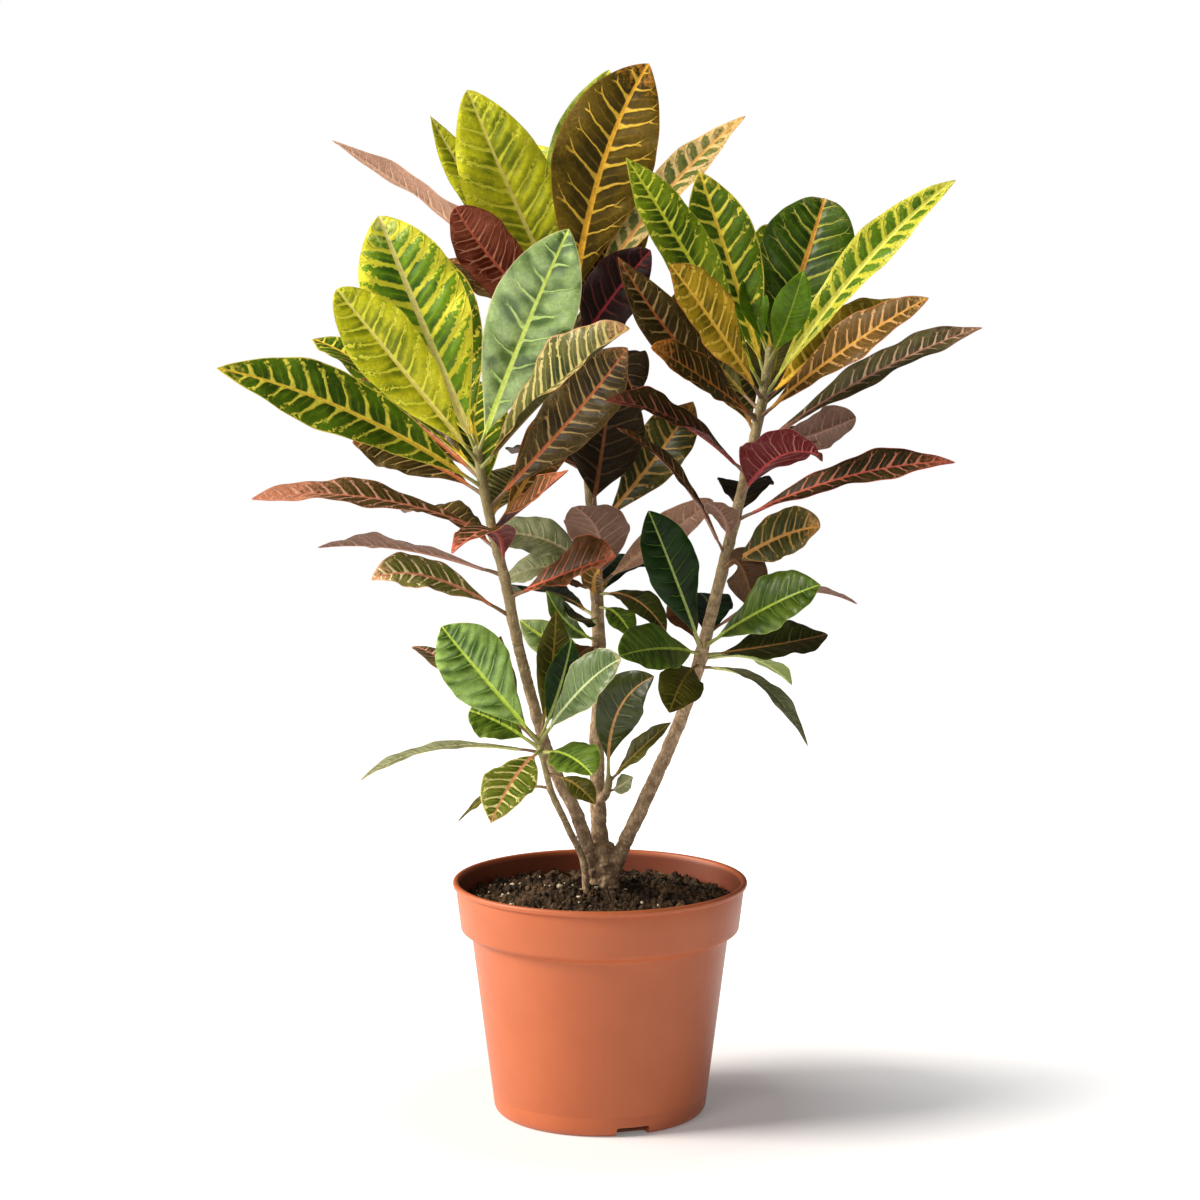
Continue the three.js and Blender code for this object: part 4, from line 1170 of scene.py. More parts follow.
@dataclass
class WoodBuilder:
    """Makes stretches of stem, each a round rod bent along its axis.

    Attributes:
        bark: The stems' finish.
    """

    bark: Bark
    SIDES = 24  # points in a ring
    STEP = 1.6  # from one ring of points to the next, in millimetres
    SCAR_STEP = 12.5  # from one old leaf's scar up to the next, in millimetres
    SCAR_TURN = 2.4  # from one scar round to the next, in radians
    KNOT_SPREAD = 2.6  # how far a knot's swelling reaches along the stem, in millimetres
    BUD = 0.06  # share of a stem's top that closes to a bud

    def rod(self, name: str, rings: list[np.ndarray]) -> Piece:
        """Makes a closed rod through rings of points.

        Args:
            name: The rod's name.
            rings: Rings with as many points as the rod has sides, in millimetres.

        Returns:
            The rod.
        """
        rod = straight_rod(name, self.SIDES, len(rings))
        flat = places(rod.data)
        level = np.rint((flat[:, 2] + 0.5) * (len(rings) - 1)).astype(int)
        turn = np.rint(np.arctan2(flat[:, 1], flat[:, 0]) / (2 * np.pi) * self.SIDES).astype(int)
        middle = np.hypot(flat[:, 0], flat[:, 1]) < 0.5
        stack = np.array(rings)
        shaped = stack[level, turn % self.SIDES]
        shaped[middle] = stack[level[middle]].mean(axis=1)
        put(rod.data, shaped * MM)
        rod.data.shade_smooth()
        return rod

    def stretch(
        self, name: str, stem: Stem, low: float, high: float, budded: bool, leaves: Iterable[Leaf] = ()
    ) -> Piece:
        """Makes the stretch of a stem between two levels, with a swelling under each leaf.

        Args:
            name: The rod's name.
            stem: The stem.
            low: Level of its foot.
            high: Level of its top.
            budded: Whether it ends in a growing bud.
            leaves: The leaves that it bears.

        Returns:
            The rod.
        """
        start, end = stem.share_at(low), stem.share_at(high)
        length = float(np.linalg.norm(stem.at(end) - stem.at(start)))
        count = max(6, round(length / self.STEP))
        knots = []
        for leaf in leaves:
            root = stem.at(stem.share_at(leaf.level))
            knots.append((leaf.level, 0.7, np.array(leaf.middle, float) - root))
        for number in range(int((high - low) / self.SCAR_STEP)):
            turn = self.SCAR_TURN * number + low
            side = np.array([math.cos(turn), math.sin(turn), 0.0])
            level = low + self.SCAR_STEP * (number + 0.5 + 0.3 * math.sin(5.1 * number))
            knots.append((level, 0.2 + 0.06 * stem.radius(start), side))
        rings = []
        for i in range(count + 1):
            share = start + (end - start) * i / count
            centre, along = stem.at(share), stem.tangent(share)
            side = np.cross([0.0, 1.0, 0.0], along)
            side /= np.linalg.norm(side)
            over = np.cross(along, side)
            closed = max(0.0, (i / count - 1 + self.BUD) / self.BUD) if budded else 0.0
            taper = math.sqrt(max(0.0, 1 - closed**2))
            ring = []
            for k in range(self.SIDES):
                angle = 2 * math.pi * k / self.SIDES
                out = side * math.cos(angle) + over * math.sin(angle)
                radius = stem.radius(share) * max(taper, 0.08)
                for level, height, towards in knots:
                    near = math.exp(-(((centre[2] - level) / self.KNOT_SPREAD) ** 2))
                    faced = max(0.0, float(out @ towards) / float(np.linalg.norm(towards)))
                    radius += height * near * faced**2 * taper
                where = Vector(centre + out * radius)
                radius += 0.35 * noise.noise(where * 0.16) * taper
                ring.append(centre + out * radius)
            rings.append(np.array(ring))
        return self.rod(name, rings)

    def age(self, piece: Piece, stems: Iterable[Stem]) -> None:
        """Marks how young the wood is at each point, from the nearest stem's length.

        Args:
            piece: The wood.
            stems: The stems that it may belong to.
        """
        points = places(piece.data) / MM
        youngest = np.zeros(len(points))
        nearest = np.full(len(points), np.inf)
        for stem in stems:
            for share in np.linspace(0, 1, 60):
                gap = np.linalg.norm(points - stem.at(float(share)), axis=1)
                closer = gap < nearest
                nearest = np.minimum(nearest, gap)
                youngest = np.where(closer, share, youngest)
        note(piece.data, "youth", youngest**1.6)


@dataclass
class Trunk:
    """The knotty stump with the bare lengths of its three stems and a stub of the twig.

    Attributes:
        radii: Level and radius up the stump, in millimetres.
        grain: Size of the remeshed faces, in millimetres.
    """

    radii: tuple[tuple[float, float], ...] = (
        (120, 9.4), (134, 10), (146, 10.8), (153, 10.4), (160, 9.6), (168, 8.8), (175, 6.4),
    )
    grain: float = 0.9

    def stump(self, wood: WoodBuilder) -> Piece:
        """Makes the stump, fluted under each stem and swollen at the soil.

        Args:
            wood: The maker of rods.

        Returns:
            The stump.
        """
        levels, sizes = zip(*self.radii)
        rings = []
        for level in np.linspace(levels[0], levels[-1], 40):
            radius = float(np.interp(level, levels, sizes))
            ring = []
            for k in range(wood.SIDES):
                angle = 2 * math.pi * k / wood.SIDES
                flutes = 0.09 * math.sin(3 * angle + level / 9) + 0.05 * math.sin(5 * angle - level / 6)
                reach = radius * (1 + flutes * min(1.0, max(0.0, (level - 138) / 8)))
                x, y = reach * math.cos(angle), reach * math.sin(angle)
                ring.append((STUMP[0] + x, STUMP[1] + y, level))
            rings.append(np.array(ring, float))
        return wood.rod("stump", rings)

    def build(self, wood: WoodBuilder) -> Piece:
        """Fuses the stump and the stems, and roughens their bark.

        Args:
            wood: The maker of rods.

        Returns:
            The trunk.
        """
        parts = [self.stump(wood)]
        stems = {"left": LEFT_STEM, "centre": CENTRE_STEM, "right": RIGHT_STEM, "stub": TWIG_STEM}
        for name, stem in stems.items():
            parts.append(wood.stretch(name, stem, stem.path[0][2], stem.leafy_from, budded=False))
        trunk = joined("trunk_bark", parts)
        with_modifier(trunk, "REMESH", mode="VOXEL", voxel_size=self.grain * MM)
        with_modifier(trunk, "SMOOTH", factor=0.5, iterations=3)
        self._roughen(trunk)
        wood.age(trunk, stems.values())
        trunk.data.materials.append(wood.bark.material())
        trunk.data.shade_smooth()
        return trunk

    def _roughen(self, trunk: Piece) -> None:
        """Moves the bark out and in: leaf scars, knots and corky grain.

        Args:
            trunk: The fused wood.
        """
        mesh = trunk.data
        points = places(mesh)
        normals = np.empty(len(mesh.vertices) * 3)
        mesh.vertices.foreach_get("normal", normals)
        normals = normals.reshape(-1, 3)
        moves = np.zeros(len(points))
        for i, point in enumerate(points / MM):
            where = Vector(point)
            old = min(1.0, max(0.0, (188 - point[2]) / 34))
            knots = max(0.0, noise.noise(where * 0.15) - 0.05) * (0.4 + 3.6 * old)
            scars = abs(noise.noise(Vector((point[0], point[1], point[2] * 1.9)) * 0.12))
            grain = noise.noise(where * 0.5) * (0.15 + 0.6 * old)
            moves[i] = knots - 0.5 * max(0.0, 0.16 - scars) * (4 + 5 * old) + grain
        put(mesh, points + normals * (moves * MM)[:, None])


# ------------------------------------------------------------------ the plant's tables

LEFT_STEM = Stem(
    (
        (-3, 1, 150), (-8, -2, 174), (-17, -5, 200), (-27, -8, 220), (-38, -12, 252), (-52, -18, 308),
        (-60, -22, 350), (-69, -25, 388), (-76, -25, 425), (-77, -25, 436),
    ),
    4.8, 2.6, 308,
)
CENTRE_STEM = Stem(
    (
        (2, 5, 150), (-1, 9, 190), (-2, 14, 241), (0, 20, 278), (-2, 30, 330), (-5, 42, 381),
        (-10, 54, 438), (-18, 65, 509), (-19, 67, 521),
    ),
    5.6, 2.6, 286,
)
RIGHT_STEM = Stem(
    (
        (6, 2, 150), (16, -1, 176), (35, -4, 218), (56, -8, 270), (70, -8, 322), (84, -8, 380),
        (99, -5, 443), (106, 0, 481), (108, 2, 496),
    ),
    5.2, 2.6, 280,
)
SUCKER_STEM = Stem(
    (
        (-9, -15, 118), (-9, -15, 134), (-9, -15, 150), (-11, -16, 168), (-21, -20, 191),
        (-30, -24, 212), (-35, -28, 230), (-38, -30, 247), (-38, -30, 252),
    ),
    2.6, 1.7, 118,
)
TWIG_STEM = Stem(((-2, 10, 201), (3, 3, 206), (5, -4, 213), (6, -8, 222)), 3.4, 2, 206)
CENTRE_CROWN_FROM, RIGHT_CROWN_FROM = 352, 326


def leaves(*rows: tuple[Any, ...]) -> tuple[Leaf, ...]:
    """Turns rows of name, level, middle, tip, width, facing, fold, finish and bluntness to leaves."""
    return tuple(Leaf(*row[:7], Paint[row[7]], *row[8:]) for row in rows)


LEFT_CROWN_LEAVES = leaves(
    ("gold_top", 428, (-111, -22, 511), (-138, -18, 578), 66, (0.1, -1, 0.35), 12, "GOLD", 0.2),
    ("lime_front", 424, (-124, -62, 488), (-160, -78, 535), 46, (-0.2, -1, 0.7), 14, "LIME", 0.3),
    ("pale_right", 430, (-46, -60, 509), (-19, -68, 571), 54, (0.15, -1, 0.3), 12, "SILVER_LIME", 0.1),
    ("folded_right", 420, (-27, -80, 475), (18, -92, 512), 50, (-0.5, -0.6, 0.8), 34, "CREAM_EDGED", 0.3),
    ("long_left", 408, (-155, -50, 458), (-235, -66, 486), 45, (0, -0.9, 0.6), 14, "GREEN_GOLD"),
    ("rose_left", 378, (-144, -30, 402), (-218, -36, 402), 36, (0, -0.35, 1), 12, "ROSE", 0.2),
    ("dark_left", 403, (-118, 4, 425), (-158, 10, 434), 38, (0, -0.8, 0.7), 14, "OLIVE_RUST", 0.2),
    ("orange_left", 413, (-121, 18, 448), (-157, 36, 470), 38, (0, -0.9, 0.4), 14, "OLIVE_RUST", 0.2),
    ("thin_left", 352, (-125, 5, 366), (-181, 12, 366), 38, (0.1, 0.3, 1), 12, "DUSKY_ROSE"),
    ("low_left", 325, (-107, -30, 352), (-143, -42, 352), 34, (0, -0.6, 0.9), 12, "SALMON_RIB"),
    ("coral_front", 383, (-52, -68, 397), (-19, -104, 427), 34, (-0.5, -0.5, 1), 18, "CORAL"),
    ("maroon_front", 356, (-66, -66, 386), (-90, -104, 376), 32, (0.3, 0.6, 1), 10, "DARK_RED_VEINED", 0.2),
    ("dull_right", 380, (-39, -2, 425), (-20, 2, 465), 32, (0.3, -1, 0.2), 10, "BRONZE_BROWN"),
    ("olive_right", 395, (-16, -38, 455), (17, -55, 498), 46, (-0.2, -1, 0.4), 14, "OLIVE_RUST", 0.1),
    ("coral_right", 338, (-19, -60, 359), (10, -84, 372), 44, (0, -0.8, 0.9), 22, "CORAL"),
    ("back_high", 430, (-100, 25, 500), (-120, 60, 560), 54, (0, -1, 0.6), 12, "GREEN_GOLD", 0.3),
    ("back_left", 415, (-140, 48, 470), (-190, 90, 495), 44, (0.3, -0.5, 1), 14, "GREEN_GOLD"),
    ("back_out", 400, (-82, 50, 440), (-90, 120, 468), 48, (0, -0.5, 1), 12, "GREEN_GOLD", 0.2),
    ("back_low", 368, (-100, 34, 385), (-130, 90, 380), 38, (0, 0, 1), 12, "OLIVE_RUST"),
    ("back_right", 388, (-60, 45, 402), (-52, 112, 410), 36, (0, -0.2, 1), 12, "CREAM_EDGED"),
)
CENTRE_CROWN_LEAVES = leaves(
    ("lime_tall", 508, (-51, 52, 577), (-85, 48, 657), 62, (0.1, -1, 0.25), 10, "LIME", 0.2),
    ("bronze_tall", 512, (0, 38, 604), (31, 30, 673), 66, (-0.1, -1, 0.2), 9, "BRONZE", 0.1),
    ("lime_behind", 514, (-16, 92, 596), (6, 108, 671), 44, (0, -1, 0.3), 12, "LIME_SPECKLED", 0.1),
    ("thin_behind", 505, (-72, 98, 576), (-112, 112, 641), 28, (0.4, -1, 0.3), 12, "LIME"),
    ("pink_left", 500, (-91, 100, 567), (-176, 96, 625), 42, (0.45, 0.45, 1), 12, "PINK_BACKED"),
    ("cream_right", 505, (38, 96, 584), (96, 112, 641), 33, (-0.6, -0.8, 0.5), 14, "CREAM_BARRED"),
    ("maroon_left", 490, (-64, 18, 544), (-91, -4, 583), 42, (0.1, -1, 0.5), 12, "MAROON", 0.35),
    ("maroon_right", 488, (4, 28, 520), (32, 4, 556), 44, (-0.2, -1, 0.4), 12, "NEAR_BLACK", 0.3),
    ("purple_front", 470, (8, 20, 485), (22, -15, 462), 38, (0, -0.6, 0.9), 12, "BLACK_OLIVE"),
    ("dark_low", 385, (2, 22, 432), (8, 2, 478), 52, (0, -1, 0.1), 10, "BLACK_OLIVE", 0.3),
    ("green_low", 372, (35, 30, 421), (60, 36, 458), 38, (-0.3, -1, 0.3), 12, "OLIVE_AMBER"),
    ("back_tall", 512, (-32, 112, 570), (-46, 150, 622), 58, (0, -1, 0.5), 12, "GOLD", 0.3),
    ("back_right", 500, (6, 118, 552), (20, 168, 592), 52, (-0.2, -0.8, 1), 12, "BRONZE", 0.2),
    ("back_left", 490, (-60, 115, 525), (-105, 170, 545), 50, (0.2, -0.6, 1), 12, "OLIVE_RUST"),
    ("back_out", 475, (-10, 120, 500), (-5, 190, 500), 46, (0, -0.2, 1), 12, "MAROON", 0.3),
    ("side_left", 455, (-55, 78, 475), (-110, 95, 492), 40, (0, -0.4, 1), 12, "OLIVE_RUST"),
    ("back_low_right", 430, (22, 92, 448), (50, 140, 440), 38, (0, 0, 1), 12, "DARK_RED_VEINED"),
    ("back_low_left", 410, (-35, 85, 420), (-60, 140, 415), 38, (0, 0, 1), 12, "BLACK_OLIVE"),
)
RIGHT_CROWN_LEAVES = leaves(
    ("gold_left", 468, (57, -28, 549), (16, -40, 614), 37, (0.3, -1, 0.4), 12, "GREEN_LIME"),
    ("gold_upright", 475, (83, 12, 545), (63, 20, 605), 44, (0, -1, 0.3), 12, "GREEN_GOLD", 0.1),
    ("orange_rib", 478, (128, 24, 540), (144, 38, 588), 62, (-0.1, -1, 0.35), 10, "GREEN_ORANGE", 0.45),
    ("yellow_long", 462, (163, -8, 544), (223, -4, 600), 32, (-0.5, -1, 0.6), 24, "YELLOW_BARRED"),
    ("young_upright", 485, (117, -28, 514), (126, -36, 545), 24, (0, -1, 0.2), 14, "SPRING"),
    ("young_curled", 488, (98, 6, 515), (92, 12, 540), 22, (0.3, -1, 0), 30, "SPRING"),
    ("bronze_right", 450, (150, -45, 495), (201, -66, 529), 34, (-0.3, -0.9, 0.8), 16, "BRONZE_BROWN", 0.1),
    ("rose_thin", 430, (172, -24, 480), (238, -32, 509), 36, (-0.2, -0.5, 1), 14, "DUSKY_ROSE"),
    ("bronze_left", 462, (70, -54, 512), (42, -82, 550), 40, (0.4, -1, 0.5), 14, "BRONZE_GOLD", 0.1),
    ("olive_left", 450, (52, -28, 495), (11, -34, 553), 32, (0.3, -1, 0.3), 12, "OLIVE_RUST"),
    ("dark_behind", 455, (66, 34, 495), (50, 56, 528), 40, (0.2, -1, 0.3), 12, "OLIVE_PLAIN"),
    ("orange_tip", 448, (64, -46, 478), (31, -74, 499), 32, (0.2, -1, 0.9), 16, "ORANGE_TIPPED", 0.3),
    ("red_dark", 415, (50, -62, 452), (3, -92, 468), 36, (0.4, -0.5, 1), 20, "DARK_RED_VEINED"),
    ("dark_narrow", 362, (50, -36, 415), (10, -60, 449), 20, (0.5, -0.5, 1), 14, "OLIVE_RUST"),
    ("crimson", 400, (109, -62, 431), (133, -88, 435), 52, (-0.2, 0.7, 0.7), 10, "CRIMSON_BACKED", 0.35),
    ("mauve_right", 428, (138, 28, 438), (166, 46, 447), 30, (0.2, 1, 0.4), 10, "DUSKY_ROSE", 0.3),
    ("rose_right", 385, (155, -34, 416), (221, -44, 426), 33, (0, -0.6, 1), 14, "DARK_RED_VEINED"),
    ("mauve_left", 368, (78, -34, 390), (66, -54, 402), 22, (0.2, 0.5, 1), 10, "DUSKY_ROSE"),
    ("gold_low", 354, (110, -42, 378), (136, -66, 388), 34, (0, -1, 0.5), 12, "OLIVE_AMBER", 0.3),
    ("brown_hanging", 352, (88, -22, 360), (97, -28, 332), 30, (0.2, 1, 0.3), 10, "RED_BROWN", 0.3),
    ("back_high", 480, (116, 62, 535), (126, 112, 570), 52, (0, -1, 0.6), 12, "GREEN_GOLD", 0.3),
    ("back_side", 460, (160, 58, 500), (210, 105, 520), 46, (-0.3, -0.6, 1), 12, "BRONZE_GOLD", 0.2),
    ("back_out", 450, (115, 78, 480), (120, 150, 495), 48, (0, -0.4, 1), 12, "OLIVE_PLAIN"),
    ("back_left", 440, (82, 62, 468), (64, 124, 478), 44, (0.1, -0.4, 1), 12, "OLIVE_AMBER"),
    ("back_low", 410, (130, 48, 430), (165, 102, 435), 38, (0, 0, 1), 12, "ROSE"),
    ("back_low_left", 385, (95, 52, 400), (92, 112, 396), 38, (0, -0.1, 1), 12, "BLACK_OLIVE"),
)
RIGHT_LOWER_LEAVES = leaves(
    ("upright_green", 302, (46, -42, 356), (30, -54, 397), 36, (0.3, -1, 0.2), 10, "GREEN_DARK", 0.1),
    ("green_right", 304, (103, -44, 334), (137, -58, 351), 42, (0, -0.8, 0.7), 10, "GREEN_QUILTED"),
    ("dark_right", 299, (109, -6, 305), (146, 4, 311), 38, (0, -0.5, 1), 10, "GREEN_TAN", 0.1),
    ("green_left", 300, (38, -52, 310), (12, -90, 311), 36, (0.1, -1, 0.6), 10, "GREEN_QUILTED", 0.3),
    ("down_left", 293, (52, -46, 289), (43, -72, 273), 30, (0.2, -0.8, 0.6), 12, "OLIVE_PLAIN", 0.1),
    ("drooping_right", 291, (100, -36, 286), (130, -56, 249), 20, (0.5, -0.3, 1), 12, "SAGE"),
    ("behind_right", 296, (98, 30, 292), (127, 66, 268), 24, (0, 0, 1), 10, "GREEN_DARK"),
    ("mauve_tip", 312, (120, 24, 335), (168, 44, 325), 24, (0, 0.2, 1), 10, "DUSKY_ROSE"),
    ("red_brown", 300, (56, 14, 318), (44, 32, 328), 20, (0, -1, 0.5), 10, "RED_BROWN"),
    ("back_green", 306, (72, 52, 320), (66, 108, 324), 32, (0, -0.2, 1), 10, "GREEN_DARK"),
)
CENTRE_LOWER_LEAVES = leaves(
    ("green_up_left", 304, (-20, 0, 318), (-34, -24, 343), 20, (0.5, -1, 0.5), 10, "GREEN_QUILTED"),
    ("green_front", 318, (-12, -8, 322), (-20, -32, 328), 24, (0, -0.8, 0.6), 10, "GREEN_DARK"),
    ("olive_up", 325, (-4, 8, 344), (0, -6, 354), 18, (0, -1, 0.2), 10, "BRONZE_BROWN"),
    ("green_right", 325, (10, 6, 324), (21, -6, 310), 19, (0.2, -0.8, 0.6), 10, "GREEN_QUILTED"),
    ("brown_left", 336, (-14, 14, 342), (-29, 2, 347), 16, (0, -0.5, 1), 10, "RED_BROWN"),
    ("brown_low", 300, (-8, 6, 301), (-16, -12, 298), 16, (0, -0.7, 0.7), 10, "RED_BROWN"),
    ("black_green", 333, (22, 0, 334), (42, -16, 315), 22, (0.3, -0.8, 0.6), 12, "GREEN_TAN"),
    ("mauve_front", 338, (0, -2, 374), (-16, -40, 398), 42, (0, 0.6, 0.8), 10, "DUSKY_ROSE", 0.15),
    ("pale_left", 344, (-35, 52, 366), (-74, 64, 368), 30, (0, -0.8, 0.7), 10, "SAGE", 0.3),
    ("pale_low_left", 340, (-32, 56, 348), (-64, 74, 336), 26, (0, -0.7, 0.8), 10, "SAGE", 0.3),
    ("pink_right", 338, (38, 38, 368), (74, 54, 392), 26, (0.2, 1, 0.5), 10, "PINK_BACKED", 0.3),
    ("pale_behind", 298, (-26, 18, 302), (-52, 22, 318), 24, (0, -1, 0.4), 10, "SILVER_LIME"),
    ("back_right", 330, (14, 78, 345), (30, 128, 345), 34, (0, 0, 1), 10, "GREEN_DARK"),
    ("back_left", 318, (-35, 72, 330), (-60, 114, 322), 32, (0, 0, 1), 10, "GREEN_TAN"),
)
SUCKER_LEAVES = leaves(
    ("green_big", 246, (-74, -60, 295), (-98, -72, 327), 47, (0.1, -1, 0.5), 10, "GREEN_BRIGHT", 0.1),
    ("grey_green", 247, (-11, -64, 287), (13, -88, 309), 33, (-0.3, -1, 0.6), 10, "GREY_GREEN", 0.25),
    ("cream_barred", 242, (-53, -66, 231), (-67, -100, 209), 34, (-0.2, -0.9, 0.6), 10, "GREEN_CREAM"),
    ("edge_on_left", 240, (-101, -40, 245), (-151, -52, 226), 20, (-0.1, -0.1, 1), 10, "SAGE"),
    ("dark_left", 242, (-62, -28, 258), (-83, -24, 266), 34, (0, -0.7, 0.7), 10, "GREEN_QUILTED", 0.3),
    ("green_front", 240, (-20, -62, 244), (-5, -90, 237), 32, (0, -0.7, 0.7), 10, "GREEN_QUILTED", 0.3),
    ("dark_low_left", 216, (-62, -10, 212), (-92, 8, 188), 18, (-0.3, -0.3, 1), 10, "OLIVE_PLAIN"),
    ("mauve_behind", 245, (-90, -8, 288), (-122, 30, 299), 20, (0, -0.3, 1), 10, "DUSKY_ROSE"),
    ("olive_left", 248, (-62, -28, 280), (-63, -10, 312), 22, (0.3, -1, 0.2), 10, "OLIVE_PLAIN"),
    ("olive_upright", 249, (-31, -26, 290), (-28, -22, 330), 23, (0.3, -1, 0.1), 10, "OLIVE_PLAIN"),
    ("dark_upright", 249, (-26, -34, 281), (-18, -36, 314), 22, (0.2, -1, 0.2), 10, "GREEN_DARK"),
    ("dark_low_right", 226, (-17, -38, 222), (-3, -50, 211), 16, (0, -0.8, 0.6), 10, "OLIVE_PLAIN"),
)
TWIG_LEAVES = leaves(
    ("glossy_dark", 218, (11, -28, 265), (34, -42, 291), 33, (-0.1, -1, 0.5), 10, "GREEN_TAN", 0.1),
    ("olive_curved", 216, (22, -18, 236), (45, -26, 259), 20, (-0.5, -0.6, 0.8), 14, "OLIVE_PLAIN"),
    ("dark_small", 210, (12, -10, 214), (21, -16, 222), 14, (0, -0.8, 0.6), 10, "SAGE"),
)


@dataclass
class LeafyLength:
    """A leafy length of one stem.

    Attributes:
        node: The solid that it stands for.
        stem: The stem.
        leaves: Its leaves.
        low: Level of its foot, where that isn't the start of the stem's leafy length.
        high: Level of its top, where that isn't the stem's budded tip.
    """

    node: str
    stem: Stem
    leaves: tuple[Leaf, ...]
    low: float | None = None
    high: float | None = None

    def build(self, wood: WoodBuilder, maker: LeafBuilder) -> None:
        """Makes the stem and its leaves, the leaves in one piece for each slot.

        Args:
            wood: The maker of rods.
            maker: The maker of leaves.
        """
        tip = self.stem.path[-1][2]
        low, high = self.low or self.stem.leafy_from, self.high or tip
        bare = wood.stretch(f"{self.node}_stem", self.stem, low, high, high == tip, self.leaves)
        wood.age(bare, (self.stem,))
        bare.data.materials.append(wood.bark.material())
        hand_over(bare, self.node, "bark")
        by_slot: dict[str, list[Piece]] = {}
        for number, leaf in enumerate(self.leaves):
            made = maker.build(self.stem, leaf, number)
            by_slot.setdefault(leaf.paint.value.slot, []).append(made)
        for slot, group in by_slot.items():
            piece = joined(f"{self.node}_{slot.replace('_leaf', '')}_leaves", group)
            hand_over(piece, self.node, slot)


# ------------------------------------------------------------------ the pot


@dataclass(frozen=True)
class PotPlastic:
    """Moulded polypropylene, coloured right through: soft satin gloss with fine moulded grain.

    Attributes:
        name: What it is called.
        body: Its colour.
        worn_and_highlight: Its paler colour, in clouds, and at the lip, where it stands for rubbing and for
            painted highlight.
        dust: Colour of the dry soil that clings to it.
        inner_shade: Colour painted on the inner face of the wall, from the band's foot up to the lip, as
            painted shade.
        inside: Radii in millimetres that lie inside the wall, at the band's foot and under the lip.
    """

    name: str = "terracotta-coloured moulded polypropylene"
    body: str = "#b25c34"
    worn_and_highlight: str = "#bf6a40"
    dust: str = "#8c6a50"
    inner_shade: str = "#7a3c24"
    inside: tuple[float, float] = (88.9, 92.3)

    def material(self) -> Material:
        """Gives the plastic's material."""
        material, t = new_material(self.name)
        here = add(t, "TexCoord", out="Object")
        # The mould's spark grain is about 0.4 mm, and the colour clouds over about 30 mm.
        grain = add(t, "TexNoise", {"Vector": here, "Scale": 2400.0})
        cloud = add(t, "TexNoise", {"Vector": here, "Scale": 34.0, "Detail": 3.0})
        scuffs = add(t, "TexNoise", {"Vector": here, "Scale": 260.0, "Detail": 5.0, "Roughness": 0.7})
        x, y, height = add(t, "SeparateXYZ", [here]).node.outputs
        clouded = add(t, "MapRange", [cloud, 0.3, 0.7, 0.0, 0.35])
        low = add(t, "MapRange", [height, 0.0, 9 * MM, 0.5, 0.0])
        # The lip is paler in specks: partly rubbed wear, partly painted highlight.
        high = add(t, "MapRange", [height, 145 * MM, 152 * MM, 0.0, 0.4])
        specks = add(t, "MapRange", [scuffs, 0.5, 0.68])
        dusty = add(t, "Math MULTIPLY", [low, specks])
        rubbed_and_highlit = add(t, "Math MULTIPLY", [high, specks])
        # The face painted darker as painted shade is the one that lies inside the middle of the wall, which
        # leans outwards.
        flat = add(t, "CombineXYZ", [x, y])
        reach = add(t, "VectorMath LENGTH", [flat], "Value")
        low_radius, high_radius = (radius * MM for radius in self.inside)
        levels = [height, BAND_FOOT * MM, 148 * MM, low_radius, high_radius]
        middle = add(t, "MapRange", levels, clamp=False)
        within = add(t, "Math LESS_THAN", [reach, middle])
        below_lip_top = add(t, "MapRange", [height, 148.5 * MM, 150.5 * MM, 1.0, 0.0])
        over_step = add(t, "Math GREATER_THAN", [height, (BAND_FOOT + 1.5) * MM])
        inner_shade_mask = within
        for factor in (below_lip_top, over_step):
            inner_shade_mask = add(t, "Math MULTIPLY", [inner_shade_mask, factor])
        colour = self.body
        for mask, hue in (
            (clouded, self.worn_and_highlight), (dusty, self.dust), (rubbed_and_highlit, self.worn_and_highlight), (inner_shade_mask, self.inner_shade)
        ):
            colour = add(t, "Mix", {0: mask, MIX_A: colour, MIX_B: hue}, MIX_COLOUR, data_type="RGBA")
        bump = add(t, "Bump", {"Strength": 0.35, "Distance": 0.08 * MM, "Height": grain})
        rough = add(t, "MapRange", [scuffs, 0.3, 0.7, 0.4, 0.52])
        look = {
            "Base Color": colour, "Roughness": rough, "IOR": 1.49, "Normal": bump,
            "Specular IOR Level": 0.36, "Coat Weight": 0.12, "Coat Roughness": 0.3,
        }
        add(t, "OutputMaterial", {"Surface": add(t, "BsdfPrincipled", look)})
        return material


